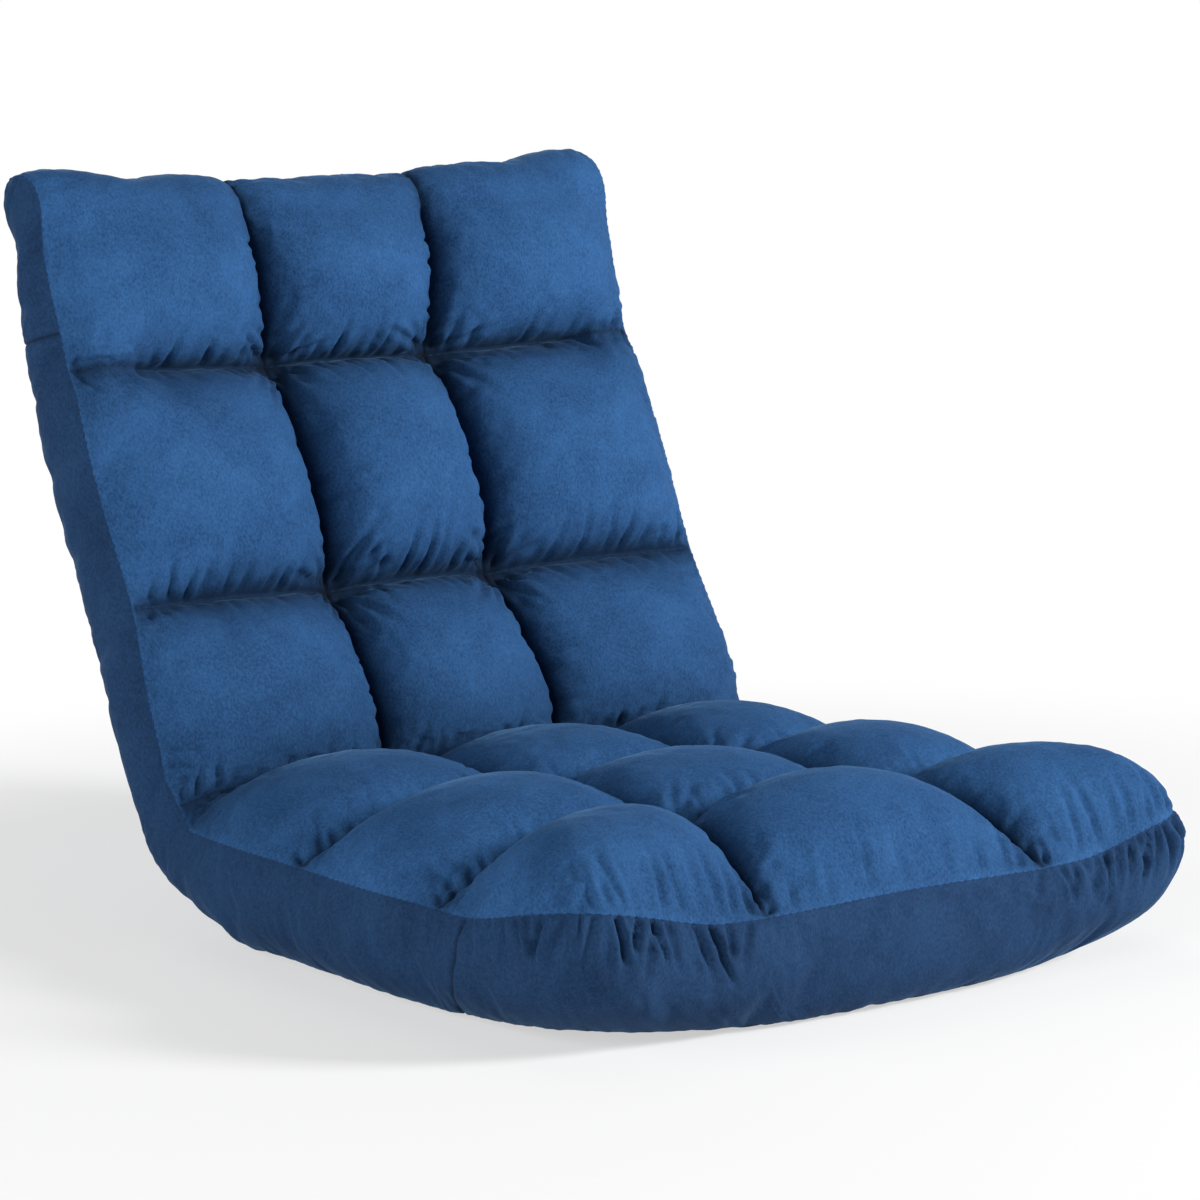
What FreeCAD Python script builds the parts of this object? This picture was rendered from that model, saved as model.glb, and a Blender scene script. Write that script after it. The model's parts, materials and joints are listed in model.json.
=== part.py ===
import FreeCAD, Part
import math
import os

# Folding floor chair: a tufted seat, a back and a head section on a steel frame with ratchet hinges.
# Millimetres and degrees. The floor is z = 0, the front is -Y and +X is the sitter's left.
# Each cushion has a flat frame of its own: a runs along it from a hinge axis, d runs from its
# sewn sitting face into the cushion, and x runs across it.

# Seat cushion
seat_width = 545.0
seat_reach = 483.0
seam_height = 77.0
seat_corner = 58.0
seat_floor_corner = 200.0
seat_taper_depth = 36.0
seat_front_bow = 8.0
seat_edge_round = 40.0
seat_side_round = 46.0
underside_start = 58.0

# Back and head cushions
back_width = 515.0
back_length = 330.0
back_recline = 26.0
back_rear_round = 24.0
heel_radius = 62.0
neck_radius = 58.0
head_length = 154.0
head_bend = 14.0
head_top_depth = 38.0
head_top_round = 14.0
head_front_round = 20.0
head_front_lip = 2.0
head_corner = 38.0
knuckle_clearance = 0.8
heel_lip = 18.0
neck_lip = 30.0
foam_lip_step = 12.0

# Sewn tufts: row seams along each cushion, column seams across it, and heights over the seam plane
seam_inset = 7.0
side_bulge_depth = 26.0
crease_gap = 12.0
seat_rear_row = 189.0
seat_front_row = 342.0
seat_column = 92.0
seat_valley = 34.0
seat_rear_crest = 50.0
seat_middle_crest = 54.0
seat_front_crest = 60.0
back_row = 157.0
back_column = 78.0
back_valley = 8.0
back_crest = 46.0
neck_gap = 8.0
neck_valley = 6.0
head_crest = 38.0
tuft_gap = 0.3

# Cover cloth and closure
cover_thickness = 1.5
cover_clearance = 0.3
gusset_gap = 0.3
zip_place = 62.0
zip_length = 300.0
zip_tape_width = 24.0
zip_tape_thickness = 0.7
zip_coil_width = 5.0
zip_coil_height = 1.6
zip_slider_length = 12.0
zip_slider_wall = 1.6
zip_clearance = 0.15

# Frame tubes and webbing
tube_diameter = 19.0
tube_wall = 1.2
frame_margin = 39.5
seat_tube_depth = 38.0
back_tube_depth = 30.0
head_tube_depth = 24.0
seat_tube_front = 420.0
seat_tube_bend = 60.0
head_tube_top = 118.0
head_tube_bend = 28.0
seat_cross_places = (160.0, 300.0)
back_cross_places = (115.0, 215.0)
webbing_thickness = 1.5
webbing_overhang = 8.0
seat_webbing_width = 50.0
seat_webbing_places = (120.0, 195.0, 260.0, 335.0)
back_webbing_width = 36.0
back_webbing_places = (144.0, 186.0)
head_webbing_width = 26.0
head_webbing_place = 86.0
seat_clearance = 0.3
weld_gap = 0.1

# Ratchet hinges
hinge_reach = 70.0
stub_overlap = 8.0
stub_insert = 18.0
stub_clearance = 0.1
gear_thickness = 4.0
gear_root = 18.6
gear_tip = 21.0
cheek_thickness = 2.0
cheek_gap = 0.3
cheek_radius = 25.0
axle_diameter = 10.0
axle_head_diameter = 18.0
axle_head_height = 2.0
pin_diameter = 6.0
pin_head_diameter = 10.0
pin_head_height = 1.5
running_clearance = 0.05
pawl_pivot_along = 32.0
pawl_pivot_depth = 12.0
pawl_eye_radius = 6.0
pawl_nose_angle = 10.0
pawl_flank_angle = 26.0
pawl_nose_height = 3.4
pawl_root_gap = 0.5
pawl_drop = 7.5
spring_thickness = 0.8
spring_width = 3.6
spring_gap = 0.35
arm_half_width = 8.0
gear_arm_front = 11.0
gear_arm_rear = 17.0
cheek_arm_front = 17.0
cheek_arm_rear = 21.0
web_length = 8.0
back_pitch = 6.4
back_swing_rear = 64.0
back_swing_front = 89.6
head_pitch = 7.0
head_swing_rear = 14.0
head_swing_front = 77.0
rivet_diameter = 4.0
rivet_head_diameter = 7.0
rivet_head_height = 1.2
rivet_clearance = 0.05
hinge_slot = 13.0
hinge_pocket = 52.0

# Depths and places that follow from the sizes above
tube_radius = tube_diameter / 2
bore_radius = tube_radius - tube_wall
seat_half = seat_width / 2
back_half = back_width / 2
tube_spread = back_half - frame_margin
underside_end = seat_reach - seat_edge_round
axis_y = (underside_start + underside_end) / 2
head_recline = back_recline - head_bend
foam_inset = cover_thickness + cover_clearance

# Reach of a cutter past the face that it opens, a length larger than the chair, and one too small to draw
beyond = 5.0
far = 900.0
speck = 1e-6


class Frame:
    """The flat frame of one cushion, seen from one of its hinge axes."""

    def __init__(self, origin, along, depth):
        self.origin = origin
        self.along = along
        self.depth = depth

    def at(self, x, a, d):
        return self.origin + FreeCAD.Vector(x, 0, 0) + self.along * a + self.depth * d


def leaning(origin, recline):
    lean = math.radians(recline)
    along = FreeCAD.Vector(0, math.sin(lean), math.cos(lean))
    depth = FreeCAD.Vector(0, math.cos(lean), -math.sin(lean))
    return Frame(origin, along, depth)


back_axis = FreeCAD.Vector(0, axis_y, seam_height)
seat = Frame(back_axis, FreeCAD.Vector(0, -1, 0), FreeCAD.Vector(0, 0, -1))
back = leaning(back_axis, back_recline)
head = leaning(back.at(0, back_length, 0), head_recline)
neck = Frame(head.origin, back.along * -1, back.depth)
across = FreeCAD.Vector(1, 0, 0)


def outline_face(place, steps):
    """A face from corner points; a pair of points is the middle and the end of an arc."""
    edges = []
    start = place(*steps[0])
    here = start
    for step in steps[1:] + [steps[0]]:
        if isinstance(step[0], tuple):
            end = place(*step[1])
            edges.append(Part.Arc(here, place(*step[0]), end).toShape())
        else:
            end = place(*step)
            if (end - here).Length < speck:
                continue
            edges.append(Part.LineSegment(here, end).toShape())
        here = end
    return Part.Face(Part.Wire(edges))


def solid_from(face, travel):
    solid = face.extrude(travel)
    if solid.Volume < 0:
        solid.reverse()
    return solid


def side_prism(frame, steps, x_low, x_high):
    """Outline in (a, d), pushed across the cushion."""
    face = outline_face(lambda a, d: frame.at(x_low, a, d), steps)
    return solid_from(face, across * (x_high - x_low))


def end_prism(frame, steps, a_low, a_high):
    """Outline in (x, d), pushed along the cushion."""
    face = outline_face(lambda x, d: frame.at(x, a_low, d), steps)
    return solid_from(face, frame.along * (a_high - a_low))


def plan_prism(frame, steps, d_low, d_high):
    """Outline in (x, a), pushed into the cushion."""
    face = outline_face(lambda x, a: frame.at(x, a, d_low), steps)
    return solid_from(face, frame.depth * (d_high - d_low))


def block(frame, x_range, a_range, d_range):
    a_low, a_high = a_range
    d_low, d_high = d_range
    corners = [(a_low, d_low), (a_high, d_low), (a_high, d_high), (a_low, d_high)]
    return side_prism(frame, corners, *x_range)


def rod(frame, radius, x_low, x_high, a, d):
    return Part.makeCylinder(radius, x_high - x_low, frame.at(x_low, a, d), across)


def both_sides(shape):
    return [shape, mirrored(shape)]


def mirrored(shape):
    return shape.mirror(FreeCAD.Vector(0, 0, 0), across)


def quarter_middle(center, radius, degrees):
    angle = math.radians(degrees)
    return (center[0] + radius * math.cos(angle), center[1] + radius * math.sin(angle))


# Outer shapes of the three cushions, each drawn a given distance inside its own surface


def seat_plan(inset, corner_radius):
    half = seat_half - inset
    front = seat_reach - inset
    corner = corner_radius - inset
    shoulder = front - seat_front_bow
    middle = quarter_middle((half - corner, shoulder - corner), corner, 45)
    mirror_middle = (-middle[0], middle[1])
    return [
        (half, -far),
        (half, shoulder - corner),
        (middle, (half - corner, shoulder)),
        ((0, front), (-(half - corner), shoulder)),
        (mirror_middle, (-half, shoulder - corner)),
        (-half, -far),
    ]


def seat_side(inset):
    nose = heel_radius - inset
    floor = seam_height - inset
    front = seat_reach - inset
    edge = seat_edge_round - inset
    ramp = math.acos(nose / math.hypot(underside_start, floor)) - math.atan2(underside_start, floor)
    tangent = (-nose * math.sin(ramp), nose * math.cos(ramp))
    half_turn = math.radians(45) + ramp / 2
    middle = (-nose * math.sin(half_turn), nose * math.cos(half_turn))
    edge_middle = quarter_middle((front - edge, floor - edge), edge, 45)
    return [
        (-nose, -beyond),
        (-nose, 0),
        (middle, tangent),
        (underside_start, floor),
        (front - edge, floor),
        (edge_middle, (front, floor - edge)),
        (front, -beyond),
    ]


def pad_end(half, depth, rounding, inset):
    """Cross outline of a pad: sides that bulge from the seam and turn under to a flat rear face."""
    seam = half - seam_inset - inset
    bulge = half - inset
    face = depth - inset
    turn = half - rounding
    lift = depth - rounding
    swell = (bulge - seam_inset / 4, side_bulge_depth / 2)
    under = quarter_middle((turn, lift), rounding - inset, 45)
    return [
        (seam, -beyond),
        (seam, 0),
        (swell, (bulge, side_bulge_depth)),
        (bulge, lift),
        (under, (turn, face)),
        (-turn, face),
        ((-under[0], under[1]), (-bulge, lift)),
        (-bulge, side_bulge_depth),
        ((-swell[0], swell[1]), (-seam, 0)),
        (-seam, -beyond),
    ]


def seat_corners(inset):
    """The seat from above, with front corners that turn in from below the seam to the floor."""
    wires = []
    for depth, corner in ((-beyond, seat_corner), (seat_taper_depth, seat_corner),
                          (seam_height, seat_floor_corner)):
        face = outline_face(lambda x, a: seat.at(x, a, depth), seat_plan(inset, corner))
        wires.append(face.OuterWire)
    return Part.makeLoft(wires, True, True)


def seat_body(inset):
    body = side_prism(seat, seat_side(inset), -far, far)
    body = body.common(end_prism(seat, pad_end(seat_half, seam_height, seat_side_round, inset), -far, far))
    return body.common(seat_corners(inset))


def rear_depth(a, inset):
    """Depth of the rear face of the back, which thins evenly from the heel to the neck."""
    return heel_radius + (neck_radius - heel_radius) * a / back_length - inset


def hollow_end(radius, lip, opening):
    """The hollow lower end of a pad that turns round a knuckle, from the sitting face to its lip."""
    curve = radius + knuckle_clearance - opening
    low = lip - opening
    last = math.acos(low / curve)
    middle = (curve * math.cos(last / 2), curve * math.sin(last / 2))
    return [(curve, -beyond), (curve, 0), (middle, (low, curve * math.sin(last)))]


def back_side(inset, opening, lip):
    nose = neck_radius - inset
    turn = quarter_middle((back_length, 0), nose, 45)
    low = lip - opening
    return hollow_end(heel_radius, lip, opening) + [
        (low, rear_depth(low, inset)),
        (back_length, nose),
        (turn, (back_length + nose, 0)),
        (back_length + nose, -beyond),
    ]


def back_body(inset, opening, lip):
    body = side_prism(back, back_side(inset, opening, lip), -far, far)
    return body.common(end_prism(back, pad_end(back_half, heel_radius, back_rear_round, inset), -far, far))


def head_depth(a, inset):
    return neck_radius + (head_top_depth - neck_radius) * a / head_length - inset


def head_side(inset, opening, lip):
    top = head_length - inset
    edge = head_top_round
    low = lip - opening
    corner = (top - edge, head_depth(top - edge, inset))
    shoulder = (top, corner[1] - edge)
    middle = quarter_middle((top - edge, shoulder[1]), edge, 45)
    front = (head_length - head_front_round, head_front_lip + head_front_round)
    front_middle = quarter_middle(front, head_front_round - inset, -45)
    seam = front[0] - inset
    ledge = head_front_lip + inset
    return hollow_end(neck_radius, lip, opening) + [
        (low, head_depth(low, inset)),
        corner,
        (middle, shoulder),
        (top, front[1]),
        (front_middle, (front[0], ledge)),
        (seam, ledge),
        (seam, -beyond),
    ]


def head_plan(inset):
    half = back_half - inset
    top = head_length - inset
    corner = head_corner - inset
    middle = quarter_middle((half - corner, top - corner), corner, 45)
    return [
        (half, -far),
        (half, top - corner),
        (middle, (half - corner, top)),
        (-(half - corner), top),
        ((-middle[0], middle[1]), (-half, top - corner)),
        (-half, -far),
    ]


def head_body(inset, opening, lip):
    body = side_prism(head, head_side(inset, opening, lip), -far, far)
    body = body.common(end_prism(head, pad_end(back_half, neck_radius, back_rear_round, inset), -far, far))
    return body.common(plan_prism(head, head_plan(inset), -far, far))


nodes = {}
whole_width = (-far, far)

# Slots that keep the foam and the tufts clear of the hinges and the stubs
slot_width = (tube_spread - hinge_slot, tube_spread + hinge_slot)


def hinge_slots(frame, front, rear, floor):
    return both_sides(block(frame, slot_width, (rear, front), (-beyond, floor)))


def hinge_pockets(frame):
    return both_sides(rod(frame, hinge_pocket, *slot_width, 0, 0))


slot_front = hinge_reach + stub_insert
recess_half = tube_spread + tube_radius + seat_clearance


def foam_layers(frame, body, tube_depth, span, recess, slots, name_top, name_base):
    """A flat slab over a tray whose recess holds the frame and its webbing."""
    strap_face = tube_depth - tube_radius - seat_clearance - webbing_thickness
    slab_face = strap_face - seat_clearance
    floor = tube_depth + tube_radius + seat_clearance
    slab = body.common(block(frame, whole_width, span, (tuft_gap, slab_face)))
    tray = body.common(block(frame, whole_width, span, (strap_face, far)))
    hollow = block(frame, (-recess_half, recess_half), recess, (strap_face - beyond, floor))
    nodes[name_top] = slab.cut(slots)
    nodes[name_base] = tray.cut([hollow] + slots)


# Seat foam: slab, tray and the heel roll round the hinge axis
seat_foam = seat_body(foam_inset)
seat_slots = hinge_slots(seat, slot_front, -far, seat_tube_depth + tube_radius + seat_clearance)
seat_recess = (hinge_reach, seat_tube_front + tube_radius + seat_clearance)
foam_layers(seat, seat_foam, seat_tube_depth, (gusset_gap, far), seat_recess, seat_slots,
            "seat_top_foam", "seat_base_foam")
heel_roll = seat_foam.common(block(seat, whole_width, (-far, 0), (tuft_gap, far)))
heel_slots = hinge_slots(seat, far, -far, far)
nodes["heel_foam"] = heel_roll.cut(heel_slots)

# Back foam and the neck roll at its upper end
back_foam = back_body(foam_inset, 0, heel_lip + foam_lip_step)
back_slot_floor = back_tube_depth + tube_radius + seat_clearance
back_slots = hinge_slots(back, slot_front, -far, back_slot_floor)
back_slots += hinge_slots(back, far, back_length - slot_front, back_slot_floor)
back_recess = (hinge_reach, back_length - hinge_reach)
back_end = back_length - gusset_gap
foam_layers(back, back_foam, back_tube_depth, (-far, back_end), back_recess, back_slots,
            "back_front_foam", "back_rear_foam")
neck_roll = back_foam.common(block(back, whole_width, (back_length, far), (2 * tuft_gap, far)))
nodes["neck_foam"] = neck_roll.cut(hinge_slots(back, far, -far, far))

# Head foam
head_foam = head_body(foam_inset, 0, neck_lip + foam_lip_step)
head_slots = hinge_slots(head, slot_front, -far, head_tube_depth + tube_radius + seat_clearance)
head_recess = (hinge_reach, head_tube_top + tube_radius + seat_clearance)
foam_layers(head, head_foam, head_tube_depth, (-far, far), head_recess, head_slots,
            "head_front_foam", "head_rear_foam")

# Cover cloth: boxing round the sides, flat panels, and gussets that stretch round the heel and the neck
seat_shell = seat_body(0).cut(seat_body(cover_thickness))
seat_shell = seat_shell.common(block(seat, whole_width, (-far, far), (0, far)))
panel_face = seam_height - cover_thickness
underside = seat_shell.common(block(seat, whole_width, (0, far), (panel_face, far)))
nodes["seat_underside"] = underside
nodes["seat_boxing"] = seat_shell.common(block(seat, whole_width, (gusset_gap, far), (0, panel_face)))
nodes["heel_cover"] = seat_shell.common(block(seat, whole_width, (-far, 0), (0, far)))

panel_half = back_half - back_rear_round
back_shell = back_body(0, 0, heel_lip).cut(back_body(cover_thickness, beyond, heel_lip))
back_shell = back_shell.common(block(back, whole_width, (-far, far), (0, far)))
lower_shell = back_shell.common(block(back, whole_width, (-far, back_end), (0, far)))
panel_zone = block(back, (-panel_half, panel_half), (-far, far), (neck_radius / 2, far))
nodes["back_rear_panel"] = lower_shell.common(panel_zone)
nodes["back_boxing"] = lower_shell.cut(panel_zone)
neck_gusset = back_shell.common(block(back, whole_width, (back_length, far), (2 * tuft_gap, far)))
nodes["neck_cover"] = neck_gusset.cut(head_slots)

head_shell = head_body(0, 0, neck_lip).cut(head_body(cover_thickness, beyond, neck_lip))
nodes["head_cover"] = head_shell.common(block(head, whole_width, (-far, far), (0, far)))


# Tufts: each is a crowned pillow between its row seams and its column seams


def crown(start, end, crest):
    """Outline over the seam plane from (place, height) to (place, height) through a crest."""
    middle = (crest[0], -crest[1])
    return [(start[0], -tuft_gap), (start[0], -max(start[1], tuft_gap)),
            (middle, (end[0], -max(end[1], tuft_gap))), (end[0], -tuft_gap)]


def tuft_row(frame, row, column, valley, side_crest, seam_half, trims, plan):
    """Three pillows side by side: a row outline pushed across and cut by the column outlines."""
    row_solid = side_prism(frame, row, -far, far).common(plan).cut(trims)
    inner = column - tuft_gap
    outer = column + tuft_gap
    centre_crown = crown((-inner, valley), (inner, valley), (0, side_crest))
    side_crown = crown((outer, valley), (seam_half, 0), ((outer + seam_half) / 2, side_crest))
    centre = row_solid.common(end_prism(frame, centre_crown, -far, far))
    side = row_solid.common(end_prism(frame, side_crown, -far, far))
    return Part.makeCompound(centre.Solids + side.Solids + mirrored(side).Solids)


seat_seam_half = seat_half - seam_inset
seat_seam_front = seat_reach - seam_inset
seat_top_plan = plan_prism(seat, seat_plan(seam_inset, seat_corner), -far, far)
seat_pockets = hinge_pockets(seat)
rear_row = crown((crease_gap, 0), (seat_rear_row - tuft_gap, seat_valley),
                 ((crease_gap + seat_rear_row) / 2, seat_rear_crest))
middle_row = crown((seat_rear_row + tuft_gap, seat_valley), (seat_front_row - tuft_gap, seat_valley),
                   ((seat_rear_row + seat_front_row) / 2, seat_middle_crest))
front_row = crown((seat_front_row + tuft_gap, seat_valley), (seat_seam_front, 0),
                  ((seat_front_row + seat_seam_front) / 2, seat_front_crest))
seat_rows = {"seat_rear_tufts": rear_row, "seat_middle_tufts": middle_row, "seat_front_tufts": front_row}
for name, row in seat_rows.items():
    nodes[name] = tuft_row(seat, row, seat_column, seat_valley, seat_front_crest, seat_seam_half,
                           seat_pockets, seat_top_plan)

back_seam_half = back_half - seam_inset
lower_row = crown((crease_gap, 0), (back_row - tuft_gap, back_valley),
                  ((crease_gap + back_row) / 2, back_crest))
upper_row = crown((back_row + tuft_gap, back_valley), (back_length - neck_gap, neck_valley),
                  ((back_row + back_length) / 2, back_crest))
back_pockets = hinge_pockets(back) + hinge_pockets(neck)
back_top_plan = block(back, (-back_seam_half, back_seam_half), (-far, far), (-far, far))
for name, row in {"back_lower_tufts": lower_row, "back_upper_tufts": upper_row}.items():
    nodes[name] = tuft_row(back, row, back_column, back_valley, back_crest, back_seam_half,
                           back_pockets, back_top_plan)

head_seam_top = head_length - head_front_round
head_row = crown((neck_gap, neck_valley), (head_seam_top, 0), ((neck_gap + head_seam_top) / 2, head_crest))
head_top_plan = plan_prism(head, head_plan(seam_inset), -far, far)
nodes["head_tufts"] = tuft_row(head, head_row, back_column, back_valley, head_crest, back_seam_half,
                               hinge_pockets(head), head_top_plan)

# Zip across the lower rear panel, with a slider that has no pull tab
rear_slope = FreeCAD.Vector(0, 0, 0) + back.along * back_length + back.depth * (neck_radius - heel_radius)
rear_slope.normalize()
rear_normal = across.cross(rear_slope) * -1
zip_frame = Frame(back.at(0, zip_place, rear_depth(zip_place, 0)), rear_slope, rear_normal)
tape_top = zip_clearance + zip_tape_thickness
coil_top = tape_top + zip_coil_height
half_zip = zip_length / 2
nodes["zip_tape"] = block(zip_frame, (-half_zip, half_zip), (-zip_tape_width / 2, zip_tape_width / 2),
                          (zip_clearance, tape_top))
nodes["zip_coil"] = block(zip_frame, (-half_zip, half_zip), (-zip_coil_width / 2, zip_coil_width / 2),
                          (tape_top, coil_top))
slider_half = zip_coil_width / 2 + zip_clearance + zip_slider_wall
slider_range = (half_zip - zip_slider_length, half_zip)
slider_body = block(zip_frame, slider_range, (-slider_half, slider_half),
                    (tape_top + zip_clearance, coil_top + zip_clearance + zip_slider_wall))
channel_half = zip_coil_width / 2 + zip_clearance
slider_channel = block(zip_frame, whole_width, (-channel_half, channel_half), (0, coil_top + zip_clearance))
nodes["zip_slider"] = slider_body.cut(slider_channel)


# Frame tubes


def bent_tube(frame, depth, start, end, bend):
    """A U of tube: up one side, across the end and back down the other side."""
    straight = end - bend
    inner = tube_spread - bend
    middle = quarter_middle((inner, straight), bend, 45)
    stations = [(tube_spread, start), (tube_spread, straight), (middle, (inner, end)), (-inner, end),
                ((-middle[0], middle[1]), (-tube_spread, straight)), (-tube_spread, start)]
    edges = []
    here = frame.at(*stations[0], depth)
    for station in stations[1:]:
        if isinstance(station[0], tuple):
            there = frame.at(*station[1], depth)
            edges.append(Part.Arc(here, frame.at(*station[0], depth), there).toShape())
        else:
            there = frame.at(*station, depth)
            edges.append(Part.LineSegment(here, there).toShape())
        here = there
    path = Part.Wire(edges)
    layers = []
    for radius in (tube_radius, bore_radius):
        ring = Part.Wire(Part.makeCircle(radius, frame.at(tube_spread, start, depth), frame.along))
        layers.append(path.makePipeShell([ring], True, False))
    return layers[0].cut(layers[1])


def straight_tube(frame, depth, start, end):
    base = frame.at(tube_spread, start, depth)
    outer = Part.makeCylinder(tube_radius, end - start, base, frame.along)
    return outer.cut(Part.makeCylinder(bore_radius, end - start, base, frame.along))


def cross_tube(frame, depth, place, side_range):
    """A tube between the side tubes, its ends shaped to the round of the side tubes."""
    outer = rod(frame, tube_radius, -tube_spread, tube_spread, place, depth)
    inner = rod(frame, bore_radius, -tube_spread, tube_spread, place, depth)
    side = Part.makeCylinder(tube_radius + weld_gap, side_range[1] - side_range[0],
                             frame.at(tube_spread, side_range[0], depth), frame.along)
    return outer.cut(inner).cut(both_sides(side))


def headed_pin(frame, a, d, radius, head_radius, head_height, half_grip):
    low = tube_spread - half_grip
    high = tube_spread + half_grip
    shank = rod(frame, radius, low, high, a, d)
    near = rod(frame, head_radius, low - head_height, low, a, d)
    wide = rod(frame, head_radius, high, high + head_height, a, d)
    return shank.fuse([near, wide])


def rivet_places(frame, depth):
    """Holes and rivets that hold a hinge stub in its tube."""
    place = hinge_reach + stub_insert / 2
    reach = tube_radius + seat_clearance
    hole = rod(frame, rivet_diameter / 2 + rivet_clearance, tube_spread - 2 * reach, tube_spread + 2 * reach,
               place, depth)
    rivet = headed_pin(frame, place, depth, rivet_diameter / 2, rivet_head_diameter / 2,
                       rivet_head_height, reach)
    return hole, rivet


seat_hole, seat_rivet = rivet_places(seat, seat_tube_depth)
back_hole, back_rivet = rivet_places(back, back_tube_depth)
neck_hole, neck_rivet = rivet_places(neck, back_tube_depth)
head_hole, head_rivet = rivet_places(head, head_tube_depth)
nodes["seat_rivets"] = Part.makeCompound(both_sides(seat_rivet))
nodes["back_rivets"] = Part.makeCompound(both_sides(back_rivet) + both_sides(neck_rivet))
nodes["head_rivets"] = Part.makeCompound(both_sides(head_rivet))

seat_tube = bent_tube(seat, seat_tube_depth, hinge_reach, seat_tube_front, seat_tube_bend)
nodes["seat_frame_tube"] = seat_tube.cut(both_sides(seat_hole))
head_tube = bent_tube(head, head_tube_depth, hinge_reach, head_tube_top, head_tube_bend)
nodes["head_frame_tube"] = head_tube.cut(both_sides(head_hole))
back_tube = straight_tube(back, back_tube_depth, hinge_reach, back_length - hinge_reach)
back_tube = back_tube.cut([back_hole, neck_hole])
nodes["back_left_tube"] = back_tube
nodes["back_right_tube"] = mirrored(back_tube)
seat_sides = (hinge_reach, seat_tube_front - seat_tube_bend)
back_sides = (hinge_reach, back_length - hinge_reach)
nodes["seat_cross_tubes"] = Part.makeCompound(
    [cross_tube(seat, seat_tube_depth, place, seat_sides) for place in seat_cross_places])
nodes["back_cross_tubes"] = Part.makeCompound(
    [cross_tube(back, back_tube_depth, place, back_sides) for place in back_cross_places])


# Elastic webbing laid over the side tubes


def straps(frame, depth, width, places):
    low = depth - tube_radius - seat_clearance
    reach = tube_spread + webbing_overhang
    layers = []
    for place in places:
        layers.append(block(frame, (-reach, reach), (place - width / 2, place + width / 2),
                            (low - webbing_thickness, low)))
    return Part.makeCompound(layers)


nodes["seat_webbing"] = straps(seat, seat_tube_depth, seat_webbing_width, seat_webbing_places)
nodes["back_webbing"] = straps(back, back_tube_depth, back_webbing_width, back_webbing_places)
nodes["head_webbing"] = straps(head, head_tube_depth, head_webbing_width, (head_webbing_place,))


# Ratchet hinge: a toothed gear arm on the lower cushion, and a fork with a sprung pawl on the upper one


def polar(radius, degrees):
    """A point of the upper cushion's frame, with the angle growing from along it towards its front."""
    angle = math.radians(degrees)
    return (radius * math.cos(angle), -radius * math.sin(angle))


def toothed_rim(pitch, swing_rear, swing_front):
    first = pawl_nose_angle - swing_rear - pitch
    count = round((swing_rear + swing_front) / pitch) + 2
    rim = [polar(gear_root, first)]
    for index in range(count):
        rim.append(polar(gear_tip, first + (index + 0.5) * pitch))
        rim.append(polar(gear_root, first + (index + 1) * pitch))
    last = first + count * pitch
    rim.append((polar(gear_root, (last + first + 360) / 2), polar(gear_root, first)))
    return rim


def turned(point, degrees):
    """A point of the pawl turned about its pivot, away from the gear for a positive angle."""
    angle = math.radians(degrees)
    along = point[0] - pawl_pivot_along
    depth = point[1] - pawl_pivot_depth
    return (pawl_pivot_along + along * math.cos(angle) - depth * math.sin(angle),
            pawl_pivot_depth + along * math.sin(angle) + depth * math.cos(angle))


def pawl_outline():
    """Pawl at rest, just clear of the teeth: drawn in a tooth gap, then lifted about its pivot."""
    tip = polar(gear_root + pawl_root_gap, pawl_nose_angle)
    outward = polar(1, pawl_nose_angle)
    forward = polar(1, pawl_nose_angle + 90)
    spread = pawl_nose_height * math.tan(math.radians(pawl_flank_angle))
    shoulder = (tip[0] + outward[0] * pawl_nose_height, tip[1] + outward[1] * pawl_nose_height)
    front = (shoulder[0] + forward[0] * spread, shoulder[1] + forward[1] * spread)
    rear = (shoulder[0] - forward[0] * spread, shoulder[1] - forward[1] * spread)
    reach = math.hypot(pawl_pivot_along - tip[0], pawl_pivot_depth - tip[1])
    normal = ((pawl_pivot_depth - tip[1]) / reach, -(pawl_pivot_along - tip[0]) / reach)
    aside = (normal[0] * pawl_eye_radius, normal[1] * pawl_eye_radius)
    eye_front = (pawl_pivot_along + aside[0], pawl_pivot_depth + aside[1])
    eye_rear = (pawl_pivot_along - aside[0], pawl_pivot_depth - aside[1])
    return [turned(point, pawl_drop) for point in (tip, front, eye_front, eye_rear, rear)]


def arm_outline(depth, root_front, root_rear):
    end = hinge_reach - stub_overlap / 2
    return [(0, -root_front), (end, depth - arm_half_width), (end, depth + arm_half_width), (0, root_rear)]


def stub(frame, depth):
    base = frame.at(tube_spread, hinge_reach - stub_overlap, depth)
    return Part.makeCylinder(bore_radius - stub_clearance, stub_overlap + stub_insert, base, frame.along)


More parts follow.
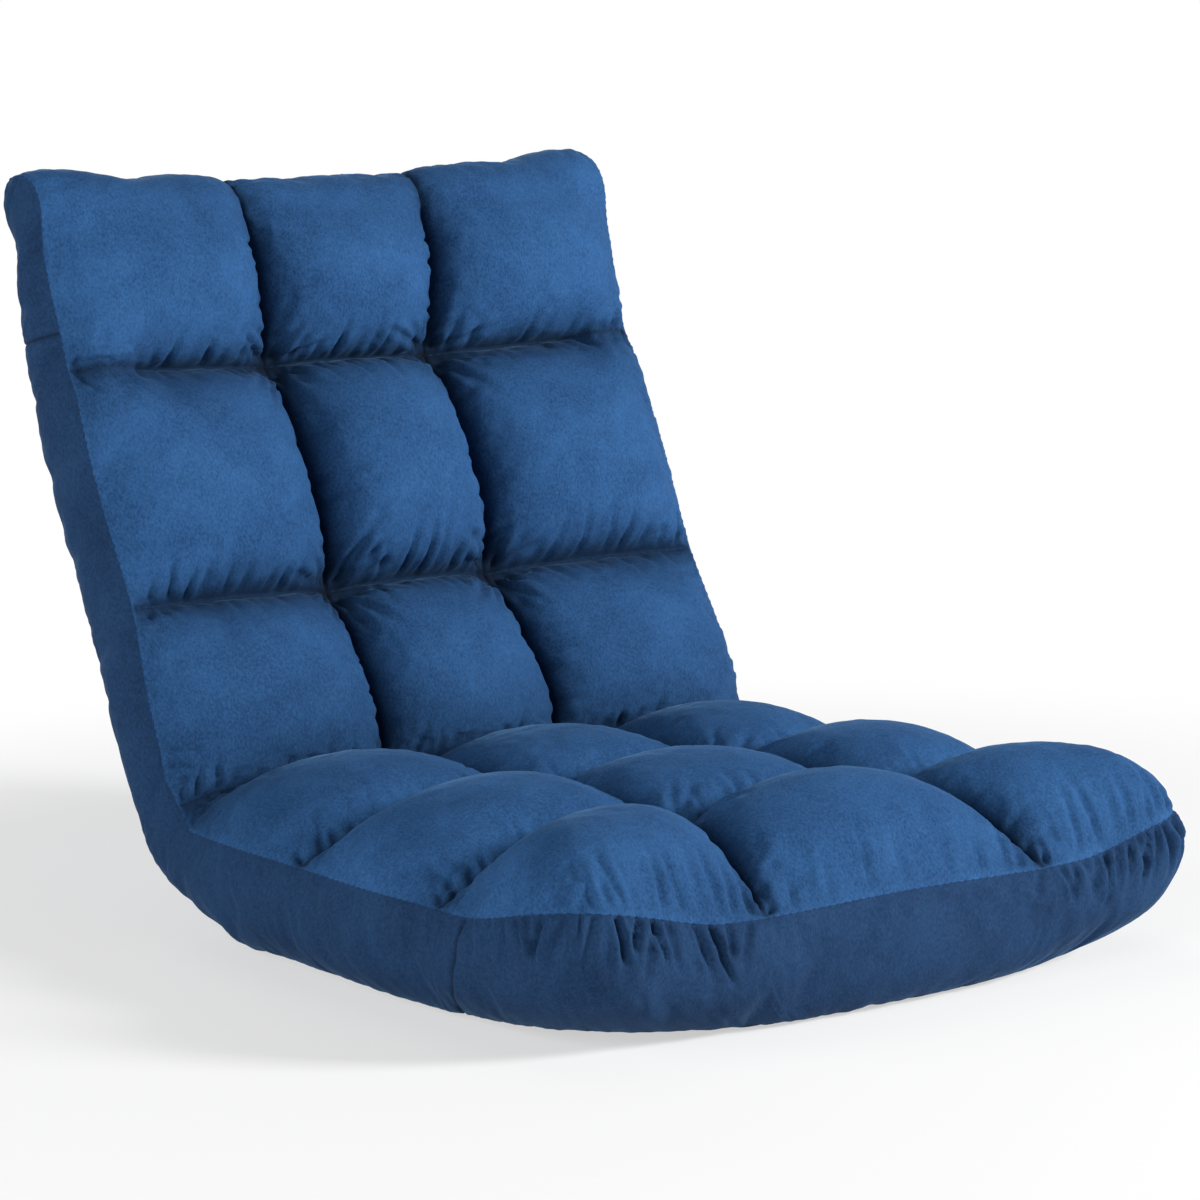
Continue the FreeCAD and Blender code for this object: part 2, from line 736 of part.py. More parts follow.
def hinge(name, lower, upper, lower_depth, upper_depth, lower_hole, upper_hole, rim):
    half_gear = gear_thickness / 2
    cheek_in = half_gear + cheek_gap
    cheek_out = cheek_in + cheek_thickness
    axle_hole = rod(upper, axle_diameter / 2 + running_clearance, tube_spread - far, tube_spread + far, 0, 0)
    pin_hole = rod(upper, pin_diameter / 2 + running_clearance, tube_spread - far, tube_spread + far,
                   pawl_pivot_along, pawl_pivot_depth)
    gear_layer = (tube_spread - half_gear, tube_spread + half_gear)
    gear = side_prism(upper, rim, *gear_layer)
    gear_arm = side_prism(lower, arm_outline(lower_depth, gear_arm_front, gear_arm_rear), *gear_layer)
    gear = gear.fuse([gear_arm, stub(lower, lower_depth)]).cut([axle_hole, lower_hole]).removeSplitter()
    cheek_shape = arm_outline(upper_depth, cheek_arm_front, cheek_arm_rear)
    cheeks = []
    for low in (tube_spread - cheek_out, tube_spread + cheek_in):
        disc = rod(upper, cheek_radius, low, low + cheek_thickness, 0, 0)
        cheek = side_prism(upper, cheek_shape, low, low + cheek_thickness)
        cheeks.append(disc.fuse(cheek))
    web_end = hinge_reach - stub_overlap / 2
    web = block(upper, (tube_spread - cheek_out, tube_spread + cheek_out), (web_end - web_length, web_end),
                (upper_depth - arm_half_width, upper_depth + arm_half_width))
    fork = web.fuse(cheeks + [stub(upper, upper_depth)])
    fork = fork.cut([axle_hole, pin_hole, upper_hole]).removeSplitter()
    pawl_shape = pawl_outline()
    eye = rod(upper, pawl_eye_radius, *gear_layer, pawl_pivot_along, pawl_pivot_depth)
    pawl = side_prism(upper, pawl_shape, *gear_layer).fuse(eye).cut(pin_hole).removeSplitter()
    front, eye_front = pawl_shape[1], pawl_shape[2]
    run = math.hypot(eye_front[0] - front[0], eye_front[1] - front[1])
    lift = ((eye_front[1] - front[1]) / run, -(eye_front[0] - front[0]) / run)
    press = ((front[0] + eye_front[0]) / 2 + lift[0] * spring_gap,
             (front[1] + eye_front[1]) / 2 + lift[1] * spring_gap)
    foot = (web_end - web_length - seat_clearance, upper_depth - arm_half_width)
    thick = (lift[0] * spring_thickness, lift[1] * spring_thickness)
    leaf = [press, foot, (foot[0] + thick[0], foot[1] + thick[1]),
            (press[0] + thick[0], press[1] + thick[1])]
    spring = side_prism(upper, leaf, tube_spread - spring_width / 2, tube_spread + spring_width / 2)
    grip = cheek_out + cheek_gap
    axle = headed_pin(upper, 0, 0, axle_diameter / 2, axle_head_diameter / 2, axle_head_height, grip)
    pin = headed_pin(upper, pawl_pivot_along, pawl_pivot_depth, pin_diameter / 2, pin_head_diameter / 2,
                     pin_head_height, grip)
    pieces = {"gear": gear, "fork": fork, "axle": axle, "pawl": pawl, "pawl_pin": pin, "pawl_spring": spring}
    for piece, shape in pieces.items():
        nodes[name + "_left_" + piece] = shape
        nodes[name + "_right_" + piece] = mirrored(shape)


back_rim = toothed_rim(back_pitch, back_swing_rear, back_swing_front)
head_rim = toothed_rim(head_pitch, head_swing_rear, head_swing_front)
hinge("back", seat, back, seat_tube_depth, back_tube_depth, seat_hole, back_hole, back_rim)
hinge("head", neck, head, back_tube_depth, head_tube_depth, neck_hole, head_hole, head_rim)

os.makedirs("parts", exist_ok=True)
for name, shape in nodes.items():
    solids = shape.Solids
    whole = solids[0] if len(solids) == 1 else Part.makeCompound(solids)
    whole.exportStep("parts/" + name + ".step")
    print(name, len(solids), round(whole.Volume / 1000, 2), whole.isValid())
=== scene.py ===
import json
import math

import bpy
import numpy as np
from mathutils import Euler, Matrix, Vector


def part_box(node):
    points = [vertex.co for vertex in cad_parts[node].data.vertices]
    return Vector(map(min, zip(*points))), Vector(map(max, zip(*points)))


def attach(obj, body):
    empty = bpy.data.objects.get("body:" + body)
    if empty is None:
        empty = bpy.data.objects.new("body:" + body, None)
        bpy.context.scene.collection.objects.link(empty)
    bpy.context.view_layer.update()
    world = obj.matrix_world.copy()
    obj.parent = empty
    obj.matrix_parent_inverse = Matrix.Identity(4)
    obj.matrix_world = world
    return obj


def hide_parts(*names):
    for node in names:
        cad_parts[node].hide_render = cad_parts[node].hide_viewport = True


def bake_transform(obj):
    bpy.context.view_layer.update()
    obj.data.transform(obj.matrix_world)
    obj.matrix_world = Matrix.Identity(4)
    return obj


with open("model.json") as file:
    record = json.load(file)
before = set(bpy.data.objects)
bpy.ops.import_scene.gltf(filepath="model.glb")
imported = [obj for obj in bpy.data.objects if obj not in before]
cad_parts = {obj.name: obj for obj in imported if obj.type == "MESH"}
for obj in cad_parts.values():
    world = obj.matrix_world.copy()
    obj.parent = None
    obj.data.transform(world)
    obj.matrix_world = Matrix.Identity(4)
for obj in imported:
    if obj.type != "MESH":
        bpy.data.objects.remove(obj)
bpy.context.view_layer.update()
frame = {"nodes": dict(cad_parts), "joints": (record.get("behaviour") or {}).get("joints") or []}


# Photographer's stand: a white sheet of paper under the chair, five soft boxes and a long lens,
# set up at the height of a low table and to the sitter's right of the chair.
scene = bpy.context.scene
scene.view_settings.view_transform = "Standard"

camera_place = (-1.796, -2.2455, 0.674)
camera_down_tilt = 8.6
camera_heading = -37.5
camera_roll = -0.2
camera_lens, camera_sensor = 129.3, 36.0


def put_in_scene(name, data):
    """A new object in the scene, made from a mesh, a lamp or a camera."""
    made = bpy.data.objects.new(name, data)
    scene.collection.objects.link(made)
    return made


camera_data = bpy.data.cameras.new("camera")
camera_data.lens = camera_lens
camera_data.sensor_width = camera_sensor
camera = put_in_scene("camera", camera_data)
aim = Euler((math.radians(90.0 - camera_down_tilt), 0.0, math.radians(camera_heading))).to_matrix()
aim = aim @ Matrix.Rotation(math.radians(camera_roll), 3, "Z")
camera.matrix_world = Matrix.Translation(camera_place) @ aim.to_4x4()
scene.camera = camera


def colour(hex_code):
    """An sRGB hex colour as linear red, green, blue and opaque alpha."""
    parts = [int(hex_code[i:i + 2], 16) / 255.0 for i in (1, 3, 5)]
    linear = [c / 12.92 if c <= 0.04045 else ((c + 0.055) / 1.055) ** 2.4 for c in parts]
    return (*linear, 1.0)


def add_node(tree, kind, inputs=(), **options):
    """Adds one node: options are its own settings, inputs pair a socket with a value or a link."""
    made = tree.nodes.new(kind)
    for name, value in options.items():
        setattr(made, name, value)
    for socket, value in inputs:
        if isinstance(value, bpy.types.NodeSocket):
            tree.links.new(value, made.inputs[socket])
        else:
            made.inputs[socket].default_value = value
    return made


def new_material(name):
    """An empty node material with its output node."""
    material = bpy.data.materials.new(name)
    material.use_nodes = True
    material.node_tree.nodes.clear()
    return material, material.node_tree, add_node(material.node_tree, "ShaderNodeOutputMaterial")


def background_rays(tree):
    """One on every ray that shows the plain white background: straight, mirrored or seen through."""
    ray = add_node(tree, "ShaderNodeLightPath")
    shown = add_node(tree, "ShaderNodeMath", [
        (0, ray.outputs["Is Camera Ray"]), (1, ray.outputs["Is Glossy Ray"])], operation="MAXIMUM")
    clear = add_node(tree, "ShaderNodeMath", [
        (0, shown.outputs[0]), (1, ray.outputs["Is Transmission Ray"])], operation="MAXIMUM")
    return clear.outputs[0]


# photo paper: matt white, and pure white to the eye from a step away, so only the chair's shadow shows
paper_reach, paper_level = 6.0, -0.0015
paper_white, paper_grain = "#f2f2f2", 900.0
paper_fade, paper_near_share = (0.62, 1.15), 0.55
paper, paper_tree, paper_output = new_material("photo_paper")
paper_fibre = add_node(paper_tree, "ShaderNodeTexNoise", [("Scale", paper_grain), ("Detail", 2.0)])
paper_tone = add_node(paper_tree, "ShaderNodeMapRange", [
    ("Value", paper_fibre.outputs["Fac"]), ("To Min", 0.985), ("To Max", 1.0)])
paper_colour = add_node(paper_tree, "ShaderNodeVectorMath", [
    (0, colour(paper_white)[:3]), ("Scale", paper_tone.outputs["Result"])], operation="SCALE")
paper_matt = add_node(paper_tree, "ShaderNodeBsdfDiffuse", [("Color", paper_colour.outputs[0])])
paper_white_light = add_node(paper_tree, "ShaderNodeEmission", [("Strength", 1.0)])
paper_place = add_node(paper_tree, "ShaderNodeNewGeometry")
paper_distance = add_node(paper_tree, "ShaderNodeVectorMath", [
    (0, paper_place.outputs["Position"])], operation="LENGTH")
paper_far = add_node(paper_tree, "ShaderNodeMapRange", [
    ("Value", paper_distance.outputs["Value"]), ("From Min", paper_fade[0]), ("From Max", paper_fade[1]),
    ("To Min", paper_near_share), ("To Max", 1.0)], interpolation_type="SMOOTHSTEP")
paper_share = add_node(paper_tree, "ShaderNodeMath", [
    (0, background_rays(paper_tree)), (1, paper_far.outputs["Result"])], operation="MULTIPLY")
paper_mix = add_node(paper_tree, "ShaderNodeMixShader", [
    (0, paper_share.outputs[0]), (1, paper_matt.outputs[0]), (2, paper_white_light.outputs[0])])
paper_tree.links.new(paper_mix.outputs[0], paper_output.inputs["Surface"])

floor_mesh = bpy.data.meshes.new("floor")
floor_mesh.from_pydata(
    [(-paper_reach, -paper_reach, 0), (paper_reach, -paper_reach, 0),
     (paper_reach, paper_reach, 0), (-paper_reach, paper_reach, 0)], [], [(0, 1, 2, 3)])
floor_mesh.materials.append(paper)
floor = put_in_scene("floor", floor_mesh)
floor.location.z = paper_level

room_light = 0.05
world = bpy.data.worlds.new("studio")
world.use_nodes = True
scene.world = world
world_tree = world.node_tree
world_tree.nodes.clear()
world_level = add_node(world_tree, "ShaderNodeMapRange", [
    ("Value", background_rays(world_tree)), ("To Min", room_light), ("To Max", 1.0)])
world_paint = add_node(world_tree, "ShaderNodeBackground", [
    ("Color", (1.0, 1.0, 1.0, 1.0)), ("Strength", world_level.outputs["Result"])])
add_node(world_tree, "ShaderNodeOutputWorld", [("Surface", world_paint.outputs[0])])

# each soft box: where it stands, its width in metres and its power in watts
soft_boxes = (
    ("key_box", (1.9, -2.3, 1.36), 0.7, 154.0),
    ("fill_box", (-2.6, -1.2, 1.0), 1.6, 42.0),
    ("side_box", (-2.6, 0.7, 0.7), 1.4, 28.0),
    ("rear_box", (0.6, 2.9, 1.1), 1.6, 22.0),
    ("top_box", (0.3, 1.0, 2.8), 1.8, 6.0),
)
light_target = Vector((0.0, 0.05, 0.2))
for box_name, box_place, box_width, box_power in soft_boxes:
    lamp = bpy.data.lights.new(box_name, "AREA")
    lamp.shape = "SQUARE"
    lamp.size = box_width
    lamp.energy = box_power
    soft_box = put_in_scene(box_name, lamp)
    soft_box.location = box_place
    soft_box.rotation_mode = "QUATERNION"
    soft_box.rotation_quaternion = (light_target - Vector(box_place)).to_track_quat("-Z", "Y")


# Frame: bent and welded steel tube under the seat, up both sides of the back and round the head end,
# powder coated black before the hinges are riveted in. It is wholly inside the cover.
def dress(material, *names):
    """Gives CAD nodes that keep their own shape a finish."""
    for name in names:
        for material_slot in frame["nodes"][name].material_slots:
            material_slot.material = material


# powder coat: a dull black skin with the slight orange peel of baked powder, about 1.5 mm across
peel_width = 0.0015
powder_coat, powder_tree, powder_output = new_material("black_powder_coat")
powder_place = add_node(powder_tree, "ShaderNodeTexCoord").outputs["Object"]
powder_peel = add_node(powder_tree, "ShaderNodeTexNoise", [
    ("Vector", powder_place), ("Scale", 1.0 / peel_width), ("Detail", 2.0)])
powder_colour = add_node(powder_tree, "ShaderNodeMix", [
    (0, powder_peel.outputs["Fac"]), (6, colour("#131416")), (7, colour("#232528"))], data_type="RGBA")
powder_rough = add_node(powder_tree, "ShaderNodeMapRange", [
    ("Value", powder_peel.outputs["Fac"]), ("To Min", 0.42), ("To Max", 0.62)])
powder_bump = add_node(powder_tree, "ShaderNodeBump", [
    ("Height", powder_peel.outputs["Fac"]), ("Strength", 0.25), ("Distance", 0.0002)])
powder_skin = add_node(powder_tree, "ShaderNodeBsdfPrincipled", [
    ("Base Color", powder_colour.outputs[2]), ("Roughness", powder_rough.outputs["Result"]),
    ("Normal", powder_bump.outputs[0])])
powder_tree.links.new(powder_skin.outputs[0], powder_output.inputs["Surface"])
dress(powder_coat, "seat_frame_tube", "head_frame_tube", "back_left_tube", "back_right_tube",
      "seat_cross_tubes", "back_cross_tubes")


# Hinges: ratchet plates, forks and pawls stamped from sheet steel and zinc plated, on turned steel axles
# and pins. Four sit in the frame, two at the fold of the seat and two at the neck.
def clouded_metal(name, dull, bright, low_rough, high_rough, grain):
    """Bare or plated metal whose colour and gloss change over patches of the given size."""
    material, tree, output = new_material(name)
    place = add_node(tree, "ShaderNodeTexCoord").outputs["Object"]
    cloud = add_node(tree, "ShaderNodeTexNoise", [
        ("Vector", place), ("Scale", 1.0 / grain), ("Detail", 5.0)])
    tint = add_node(tree, "ShaderNodeMix", [
        (0, cloud.outputs["Fac"]), (6, colour(dull)), (7, colour(bright))], data_type="RGBA")
    rough = add_node(tree, "ShaderNodeMapRange", [
        ("Value", cloud.outputs["Fac"]), ("To Min", low_rough), ("To Max", high_rough)])
    skin = add_node(tree, "ShaderNodeBsdfPrincipled", [
        ("Base Color", tint.outputs[2]), ("Roughness", rough.outputs["Result"]), ("Metallic", 1.0)])
    tree.links.new(skin.outputs[0], output.inputs["Surface"])
    return material


# zinc plate shows a grey, faintly clouded shine; turned steel is brighter; tempered spring steel is dark
zinc_plate = clouded_metal("zinc_plated_steel", "#8d9196", "#b9bdc2", 0.34, 0.52, 0.006)
turned_steel = clouded_metal("turned_steel", "#9c9c9d", "#c4c4c4", 0.22, 0.36, 0.002)
tempered_steel = clouded_metal("tempered_spring_steel", "#3b3d44", "#5a5c66", 0.28, 0.40, 0.003)
for end in ("back", "head"):
    for side in ("left", "right"):
        hinge = end + "_" + side
        dress(zinc_plate, hinge + "_gear", hinge + "_fork", hinge + "_pawl")
        dress(turned_steel, hinge + "_axle", hinge + "_pawl_pin")
        dress(tempered_steel, hinge + "_pawl_spring")
dress(turned_steel, "seat_rivets", "back_rivets", "head_rivets")


# Webbing: woven polypropylene straps stretched over the tubes, which carry the foam.
# The weave is flat black tape yarn, each yarn about 1.6 mm wide, drawn at twice that to show.
def woven_band(name, dark, light, yarn, wander, rough, relief, relief_depth):
    """A woven strap or tape: slanting yarns of a given width, whose wave repeats every pi / 10 units."""
    material, tree, output = new_material(name)
    place = add_node(tree, "ShaderNodeTexCoord").outputs["Object"]
    weave = add_node(tree, "ShaderNodeTexWave", [
        ("Vector", place), ("Scale", 2.0 * math.pi / 20.0 / yarn), ("Distortion", wander)],
        bands_direction="DIAGONAL")
    tint = add_node(tree, "ShaderNodeMix", [
        (0, weave.outputs["Fac"]), (6, colour(dark)), (7, colour(light))], data_type="RGBA")
    bump = add_node(tree, "ShaderNodeBump", [
        ("Height", weave.outputs["Fac"]), ("Strength", relief), ("Distance", relief_depth)])
    skin = add_node(tree, "ShaderNodeBsdfPrincipled", [
        ("Base Color", tint.outputs[2]), ("Roughness", rough), ("Normal", bump.outputs[0])])
    tree.links.new(skin.outputs[0], output.inputs["Surface"])
    return material


# polypropylene yarn is flat and a little waxy; the strap's lighter yarns are a painted grey gleam on black
strap_weave = woven_band("woven_polypropylene", "#101113", "#2a2b2e", 0.0032, 0.4, 0.6, 0.5, 0.0004)
dress(strap_weave, "seat_webbing", "back_webbing", "head_webbing")


# Velvet cover: one run of tufted pillows from the front of the seat over the fold to the rear edge of
# the head end, three across and six along, sewn through at every row and column. A plain strip of the
# same velvet is sewn round its edge, and both are cut full, so the pile puckers along the stitches.
MM = 0.001
joints = {row["name"]: row for row in frame["joints"]}
fold_y, fold_z = (v / MM for v in joints["back_fold"]["pos_m"][1:])
neck_y, neck_z = (v / MM for v in joints["head_tilt"]["pos_m"][1:])
back_lean = math.atan2(neck_y - fold_y, neck_z - fold_z)
head_lean = math.radians(12.0)
back_run = math.hypot(neck_y - fold_y, neck_z - fold_z)

seat_run = 480.0
crease_gap = 6.0
head_front_run = 112.0
head_top_radius = 26.0
head_top_run = 24.0
head_run = head_front_run + head_top_radius * math.pi / 2.0 + head_top_run
seat_half_width, fold_half_width, back_half_width = 267.0, 258.0, 250.5

# at the seven seam lines: distance along, height of the valley, place of the two column seams and how
# far the line curves away at the sides; in the six rows between them: strips of mesh and pillow crests
row_run = [0.0, 138.0, 291.0, seat_run - crease_gap]
row_run += [row_run[3] + 157.0 - crease_gap, row_run[3] + back_run - crease_gap]
row_run += [row_run[5] + head_run]
row_valley = [0.0, 25.0, 25.0, 2.0, -20.0, -18.0, 0.0]
column_place = [119.0, 85.0, 85.0, 78.0, 71.0, 72.0, 84.0]
row_flare = [0.0, 10.0, 16.0, 0.0, -4.0, 4.0, 0.0]
row_strips = [40, 36, 44, 38, 42, 44]
cell_strips = 40
pillow_crest = [[60.0, 63.0, 60.0], [57.0, 58.0, 57.0], [50.0, 51.0, 50.0],
                [36.0, 38.0, 36.0], [38.0, 41.0, 38.0], [41.0, 42.0, 41.0]]

# the side view is drawn a little past both ends, and left open round the crease and the neck
line_step = 4.0
front_past, rear_past = 70.0, 60.0
crease_before, crease_after, neck_open = 20.0, 24.0, 12.0
back_forward, head_forward = 13.0, 9.0


def leaning_point(start_y, start_z, lean, along, depth):
    """A point measured along a leaning pad and back into it from its front face."""
    return (start_y + along * math.sin(lean) + depth * math.cos(lean),
            start_z + along * math.cos(lean) - depth * math.sin(lean))


def seam_line():
    """Side view of the tufted run: distance along, place of the edge seam, and the way it faces."""
    stations = []
    for run in np.arange(-front_past, row_run[3] - crease_before, line_step):
        stations.append((run, (fold_y - seat_run + run, fold_z), (0.0, 1.0)))
    for run in np.arange(row_run[3] + crease_after, row_run[5] - neck_open, line_step):
        along = run - row_run[3] + crease_gap
        forward = back_forward * min(1.0, (along + 10.0) / 60.0)
        stations.append((run, leaning_point(fold_y, fold_z, back_lean, along, -forward),
                         (-math.cos(back_lean), math.sin(back_lean))))
    for along in np.arange(neck_open, head_front_run, line_step):
        forward = head_forward - head_forward * along / head_front_run
        stations.append((row_run[5] + along, leaning_point(neck_y, neck_z, head_lean, along, -forward),
                         (-math.cos(head_lean), math.sin(head_lean))))
    for turn in np.linspace(0.0, math.pi / 2.0, 12):
        along = head_front_run + head_top_radius * math.sin(turn)
        depth = head_top_radius * (1.0 - math.cos(turn))
        stations.append((row_run[5] + head_front_run + head_top_radius * turn,
                         leaning_point(neck_y, neck_z, head_lean, along, depth),
                         (-math.cos(turn + head_lean), math.sin(turn + head_lean))))
    for past in np.arange(line_step, head_top_run + rear_past, line_step):
        along = head_front_run + head_top_radius
        stations.append((row_run[6] - head_top_run + past,
                         leaning_point(neck_y, neck_z, head_lean, along, head_top_radius + past),
                         (-math.cos(math.pi / 2.0 + head_lean), math.sin(math.pi / 2.0 + head_lean))))
    return [np.array(column) for column in zip(*stations)]


heel_radius, heel_past = 53.0, 64.0
ramp_start = 74.0
back_depth, neck_depth, head_top_depth = 60.6, 58.0, 47.0
rear_top = 116.0
neck_bend = 26.0


def rear_line():
    """Side view of the floor face, heel and rear face, by the same distance along as the edge seam."""
    heel_start, heel_end = seat_run - ramp_start, row_run[3] + heel_past
    heel = [(fold_y - ramp_start, 0.0)]
    ramp = math.acos(heel_radius / math.hypot(ramp_start, fold_z)) - math.atan2(ramp_start, fold_z)
    for turn in np.linspace(ramp - math.pi / 2.0, -back_lean, 30):
        heel.append((fold_y + heel_radius * math.cos(turn), fold_z + heel_radius * math.sin(turn)))
    heel.append(leaning_point(fold_y, fold_z, back_lean, heel_end - row_run[3] + crease_gap, back_depth))
    heel = np.array(heel)
    walked = np.concatenate([[0.0], np.cumsum(np.hypot(*np.diff(heel, axis=0).T))])
    stations = [(-front_past, (fold_y - seat_run - front_past, 0.0))]
    for share in np.linspace(0.0, 1.0, 26)[:-1]:
        reached = share * walked[-1]
        stations.append((heel_start + share * (heel_end - heel_start),
                         (np.interp(reached, walked, heel[:, 0]), np.interp(reached, walked, heel[:, 1]))))
    for run in np.linspace(heel_end, row_run[5] - neck_bend, 20):
        stations.append((run, leaning_point(
            fold_y, fold_z, back_lean, run - row_run[3] + crease_gap, back_depth)))
    for share in np.linspace(0.0, 1.0, 20):
        run = row_run[5] + neck_bend + share * (head_run - neck_bend)
        along = neck_bend + share * (rear_top - neck_bend)
        depth = neck_depth + (head_top_depth - neck_depth) * along / rear_top
        stations.append((run, leaning_point(neck_y, neck_z, head_lean, along, depth)))
    stations.append((row_run[6] + 40.0, leaning_point(
        neck_y, neck_z, head_lean, rear_top + 20.0, head_top_depth)))
    return [np.array(column) for column in zip(*stations)]


seam_runs, seam_places, seam_facing = seam_line()
rear_runs, rear_places = rear_line()


def along_line(runs, values, run):
    """Looks up a side-view value at any distance along the run."""
    return np.stack([np.interp(run, runs, values[:, i]) for i in range(values.shape[1])], axis=-1)


def front_place(x, run, rise):
    """Points on the tufted side, a given rise off the seam line."""
    facing = along_line(seam_runs, seam_facing, run)
    facing = facing / np.linalg.norm(facing, axis=-1, keepdims=True)
    places = along_line(seam_runs, seam_places, run) + facing * rise[..., None]
    return np.concatenate([x[..., None], places], axis=-1)


def rear_place(x, run):
    """Points on the floor face, heel or rear face."""
    return np.concatenate([x[..., None], along_line(rear_runs, rear_places, run)], axis=-1)


def spread(count, bunching=0.5):
    """Even steps from -1 to 1, drawn closer together towards both ends."""
    even = np.linspace(-1.0, 1.0, count + 1)
    return (1.0 - bunching) * even + bunching * np.sin(even * math.pi / 2.0)


across_cell = np.concatenate([[0], np.repeat([0, 1, 2], cell_strips)])
across_in = np.concatenate([[-1.0]] + [spread(cell_strips)[1:]] * 3)
along_cell = np.concatenate([[0]] + [np.full(n, r) for r, n in enumerate(row_strips)])
along_in = np.concatenate([[-1.0]] + [spread(n)[1:] for n in row_strips])
across_share = (across_in + 1.0) / 2.0
along_share = (along_in + 1.0) / 2.0
count_across, count_along = len(across_cell), len(along_cell)


def row_value(values):
    """A value given at the seven seam lines, at every strip along."""
    values = np.array(values, float)
    return values[along_cell] * (1.0 - along_share) + values[along_cell + 1] * along_share


def cut_plan(half_widths, columns, flares, bow, front_corner, rear_corner, front_edge=0.0):
    """Flat place, across and along, of every strip crossing of a panel with rounded corners."""
    rear_edge = row_run[6]
    half = row_value(half_widths)[:, None]
    column = row_value(columns)[:, None]
    share = across_share[None, :]
    x = np.where(across_cell == 0, -half * (1.0 - share) - column * share, 0.0)
    x = np.where(across_cell == 1, column * (2.0 * share - 1.0), x)
    x = np.where(across_cell == 2, column * (1.0 - share) + half * share, x)
    sideways = np.abs(x) / half
    run = row_value(row_run)[:, None] + row_value(flares)[:, None] * sideways ** 3
    run = front_edge + run * (1.0 - front_edge / rear_edge)
    run = np.minimum(run, rear_edge)
    run = run + bow * np.clip(1.0 - run / row_run[1], 0.0, 1.0) * sideways ** 2
    bowed_edge = front_edge + bow * (1.0 - front_edge / row_run[1]) * sideways ** 2
    for radius, edge, towards in ((front_corner, bowed_edge, -1.0), (rear_corner, rear_edge, 1.0)):
        p = np.clip((np.abs(x) - half + radius) / radius, 0.0, 1.0)
        q = np.clip((towards * (run - edge) + radius) / radius, 0.0, 1.0)
        inside = (p > 0.0) & (q > 0.0)
        round_x = half - radius + radius * p * np.sqrt(1.0 - q * q / 2.0)
        round_run = edge + towards * radius * (q * np.sqrt(1.0 - p * p / 2.0) - 1.0)
        x = np.where(inside, np.sign(x) * round_x, x)
        run = np.where(inside, round_run, run)
    return x, run


# the tufted panel, and the floor and rear face, which the strip's tuck makes narrower than the panel
seam_pull, seam_pull_middle = 3.0, 0.6
seat_tuck, back_tuck, head_tuck, fold_face_half = 41.0, 12.0, 9.0, 228.0
panel_half = [seat_half_width] * 3 + [fold_half_width] + [back_half_width] * 3
panel_x, panel_run = cut_plan(
    panel_half, column_place, row_flare, bow=5.0, front_corner=44.0, rear_corner=18.0)
row_bulge = np.sin(math.pi * along_share)[:, None] ** 2
panel_x = panel_x * (1.0 + seam_pull / seat_half_width * (row_bulge - seam_pull_middle))
face_half = [seat_half_width - seat_tuck] * 3 + [fold_face_half]
face_half += [back_half_width - back_tuck] * 2 + [back_half_width - head_tuck]
face_x, face_run = cut_plan(face_half, [h / 3.0 for h in face_half], [0.0] * 7,
                            bow=22.0, front_corner=221.0, rear_corner=18.0, front_edge=29.0)


def ease(value, low, high):
    """Smooth step from 0 at low to 1 at high."""
    t = np.clip((value - low) / (high - low), 0.0, 1.0)
    return t * t * (3.0 - 2.0 * t)


# heights: a sewn-down base between the seam lines, with a pillow standing on each cell
seam_lift = 2.0
outer = np.where(across_cell == 0, 1.0 - across_share, np.where(across_cell == 2, across_share, 0.0))
base_across = 1.0 - outer ** 2.0
base_along = np.where(
    along_cell == 0, row_valley[1] * np.sin(along_share * math.pi / 2.0), row_value(row_valley))
base = base_across * (base_along[:, None] + seam_lift * (
    np.sin(math.pi * across_share) ** 2 + row_bulge))


def pillow(place, lean, low_steep, high_steep, squareness):
    """Outline of a stuffed cell with its crown moved towards one side; a small power is a steep end."""
    place = place + lean * (1.0 - place ** 2)
    return (1.0 - np.abs(place) ** squareness) ** np.where(place < 0.0, low_steep, high_steep)


# in each row: how far the filling sags down and leans inward, how steep both ends are and how square
row_sag = np.array([0.05, 0.0, -0.10, 0.10, 0.16, 0.12])
row_inward = np.array([-0.08, -0.02, 0.04, 0.14, 0.14, 0.14])
row_low_steep = np.array([0.72, 0.6, 0.6, 0.55, 0.48, 0.48])
row_high_steep = np.array([0.55, 0.55, 0.6, 0.5, 0.48, 0.5])
row_square = np.array([2.3, 2.3, 2.2, 2.2, 2.2, 2.2])
column_steep = np.array([0.76, 0.54, 0.54, 0.76])
column_square = 2.3
crest = np.array(pillow_crest)[along_cell][:, across_cell]
middle_row = [int(np.argmin(np.where(along_cell == r, np.abs(along_in), 9.0))) for r in range(6)]
middle_column = [int(np.argmin(np.where(across_cell == c, np.abs(across_in), 9.0))) for c in range(3)]
middle_base = base[np.ix_(middle_row, middle_column)][along_cell][:, across_cell]
along_pillow = pillow(along_in, row_sag[along_cell], row_low_steep[along_cell],
                      row_high_steep[along_cell], row_square[along_cell])
across_pillow = pillow(
    across_in, row_inward[along_cell][:, None] * (across_cell - 1.0), column_steep[across_cell],
    column_steep[across_cell + 1], column_square)
height = base + (crest - middle_base) * along_pillow[:, None] * across_pillow

# the head pillows thin out over the top, where the two ears stand up, and the front corners are lifted
top_puff = np.array([0.30, 0.14, 0.30])[across_cell]
top_zone, ear_zone = row_run[5] + np.array([66.0, 140.0]), row_run[5] + np.array([84.0, 150.0])
ear_lift, corner_lift = 12.0, 19.0
head_top = ease(panel_run, *top_zone)
height = height * (1.0 - head_top * (1.0 - top_puff))
height = height + ear_lift * ease(np.abs(panel_x), 160.0, 240.0) * ease(panel_run, *ear_zone)
front_zone = ease(np.abs(panel_x), 150.0, 255.0) * ease(-panel_run, -130.0, -10.0)
height = height + corner_lift * front_zone

